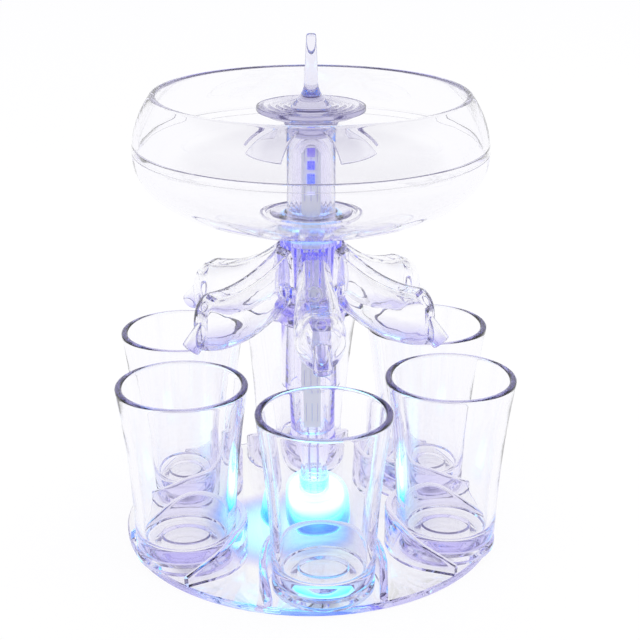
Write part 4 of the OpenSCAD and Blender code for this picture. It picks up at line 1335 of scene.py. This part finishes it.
for piece, body, slot, nodes in fittings:
    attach(piece, body)
    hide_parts(*nodes)

# %% [markdown]
# ## Finishes of the frame's own pieces
# The small pieces inside the base are already right in the frame, so they keep their meshes and
# only get their finish. They show through the plastic as colour and shade, not as detail.

# %% Finishes of the frame's own pieces
frame_finishes = {
    "puck_case": CASE_PAINTED_GLOW, "battery_cover": COVER, "cover_screws": STEEL, "button_cells": CELL,
    "cover_contact": BRASS, "board_contacts": BRASS, "led_board": BOARD, "base_leds": FROSTED,
    "switch_body": BLACK, "switch_button": GREY, "stick_wires": WIRE,
}
for node, finish in frame_finishes.items():
    mesh = frame["nodes"][node].data
    mesh.materials.clear()
    mesh.materials.append(finish)
print(len(frame_finishes), "nodes of the frame keep their mesh")

# %% [markdown]
# ## Surroundings
# Clear plastic shows what stands around it. A bright floor and horizon keep the bodies clear, and a
# dim sky above gives every rounded rim its dark line, from whichever side one looks. The floor is
# white for the camera and for light that comes through the plastic, but a share of it is a plain
# lit surface, so that the object keeps a soft shadow. The floor lies a hair under the plate,
# because two faces in one plane would fight.

# %% Floor and world
def floor_material():
    material, graph = new_material("white_floor")
    path = graph.add("ShaderNodeLightPath").socket.node
    seen = Value(graph, path.outputs["Is Camera Ray"])
    for kind in ("Is Glossy Ray", "Is Transmission Ray"):
        seen = seen.at_least(Value(graph, path.outputs[kind]))
    lit = graph.add("ShaderNodeBsdfDiffuse", inputs={"Color": (0.9, 0.9, 0.92, 1)})
    white = graph.add("ShaderNodeEmission", inputs={"Color": (1, 1, 1, 1), "Strength": 1.0})
    white_share = seen * 0.9
    surface = graph.add("ShaderNodeMixShader", inputs={0: white_share, 1: lit, 2: white})
    graph.add("ShaderNodeOutputMaterial", inputs={"Surface": surface})
    return material


floor_half, floor_gap = 6.0, 0.1 * MM
corners = [(-1, -1), (1, -1), (1, 1), (-1, 1)]
floor_mesh = bpy.data.meshes.new("floor")
floor_mesh.from_pydata([(x * floor_half, y * floor_half, -floor_gap) for x, y in corners], [],
                       [(0, 1, 2, 3)])
floor_mesh.materials.append(floor_material())
floor = new_object("floor", floor_mesh)

world = bpy.data.worlds.new("studio")
bpy.context.scene.world = world
world.use_nodes = True
world.node_tree.nodes.clear()
sky = Graph(world.node_tree)
toward = sky.add("ShaderNodeTexCoord", output="Generated")
dim = sky.smooth_step(sky.parts(toward)[2], 0.42, 0.72)
around = sky.mix(dim, (1.0, 1.0, 1.0), (0.17, 0.15, 0.28))
camera_ray = sky.add("ShaderNodeLightPath", output="Is Camera Ray")
colour = sky.mix(camera_ray, around, (1.0, 1.0, 1.0))
background = sky.add("ShaderNodeBackground", inputs={"Color": colour, "Strength": 1.0})
sky.add("ShaderNodeOutputWorld", inputs={"Surface": background})
print("floor and a sky of", len(world.node_tree.nodes), "nodes")

# %% [markdown]
# ## Lamps
# Two softboxes and a wide, sun-like sheet of light from above light the solid pieces and the floor
# evenly. Clear walls must not show them as bright patches, so rays that reflect or pass through
# plastic do not see the lamps, only the bright horizon and the dim sky.

# %% Lamps
middle_of_object = Vector((0, 0, 0.1))


def lamp(name, kind, place, energy):
    """A lamp that looks at the middle of the object and stays out of reflections."""
    data = bpy.data.lights.new(name, kind)
    data.energy = energy
    light = new_object(name, data)
    aim = (middle_of_object - Vector(place)).to_track_quat("-Z", "Y")
    light.matrix_world = Matrix.Translation(place) @ aim.to_matrix().to_4x4()
    light.visible_glossy = light.visible_transmission = False
    return data


def softbox(name, place, width, height, watts):
    data = lamp(name, "AREA", place, watts)
    data.shape, data.size, data.size_y = "RECTANGLE", width, height


softbox("left_softbox", (-1.1, -0.7, 0.9), 0.5, 0.8, 7)
softbox("right_softbox", (1.1, 0.3, 0.9), 0.5, 0.8, 6)
lamp("overhead_sheet", "SUN", (0.1, 0.1, 2.0), 1.6).angle = math.radians(120)

# %% [markdown]
# ## Camera
# The camera was fitted to the six glass rims, the plate's edge and the bowl's rim: half a metre in
# front of the column, looking 20 degrees down with a short telephoto lens. Light that is caught in
# a wall is thrown back many times, and each time counts as a glossy bounce, so all limits are high.

# %% Camera and picture settings
camera_place = Vector((0, -0.52232, 0.27777))
pitch, yaw, roll = (math.radians(a) for a in (20.026, 0.387, 0.178))
look = Vector((math.sin(yaw) * math.cos(pitch), math.cos(yaw) * math.cos(pitch), -math.sin(pitch)))
level = Vector((math.cos(yaw), -math.sin(yaw), 0))
upright = level.cross(look)
right = math.cos(roll) * level + math.sin(roll) * upright
up = math.cos(roll) * upright - math.sin(roll) * level
camera_data = bpy.data.cameras.new("camera")
camera_data.sensor_width, camera_data.lens = 36, 80.15
camera_data.clip_start = 0.01
camera = new_object("camera", camera_data)
camera.matrix_world = Matrix.Translation(camera_place) @ Matrix((right, up, -look)).transposed().to_4x4()
bpy.context.scene.camera = camera
bpy.context.scene.view_settings.view_transform = "Standard"
light_paths = bpy.context.scene.cycles
light_paths.max_bounces = light_paths.transmission_bounces = 40
light_paths.glossy_bounces = 24
light_paths.transparent_max_bounces = 48
print("camera with a lens of %.1f mm" % camera_data.lens)
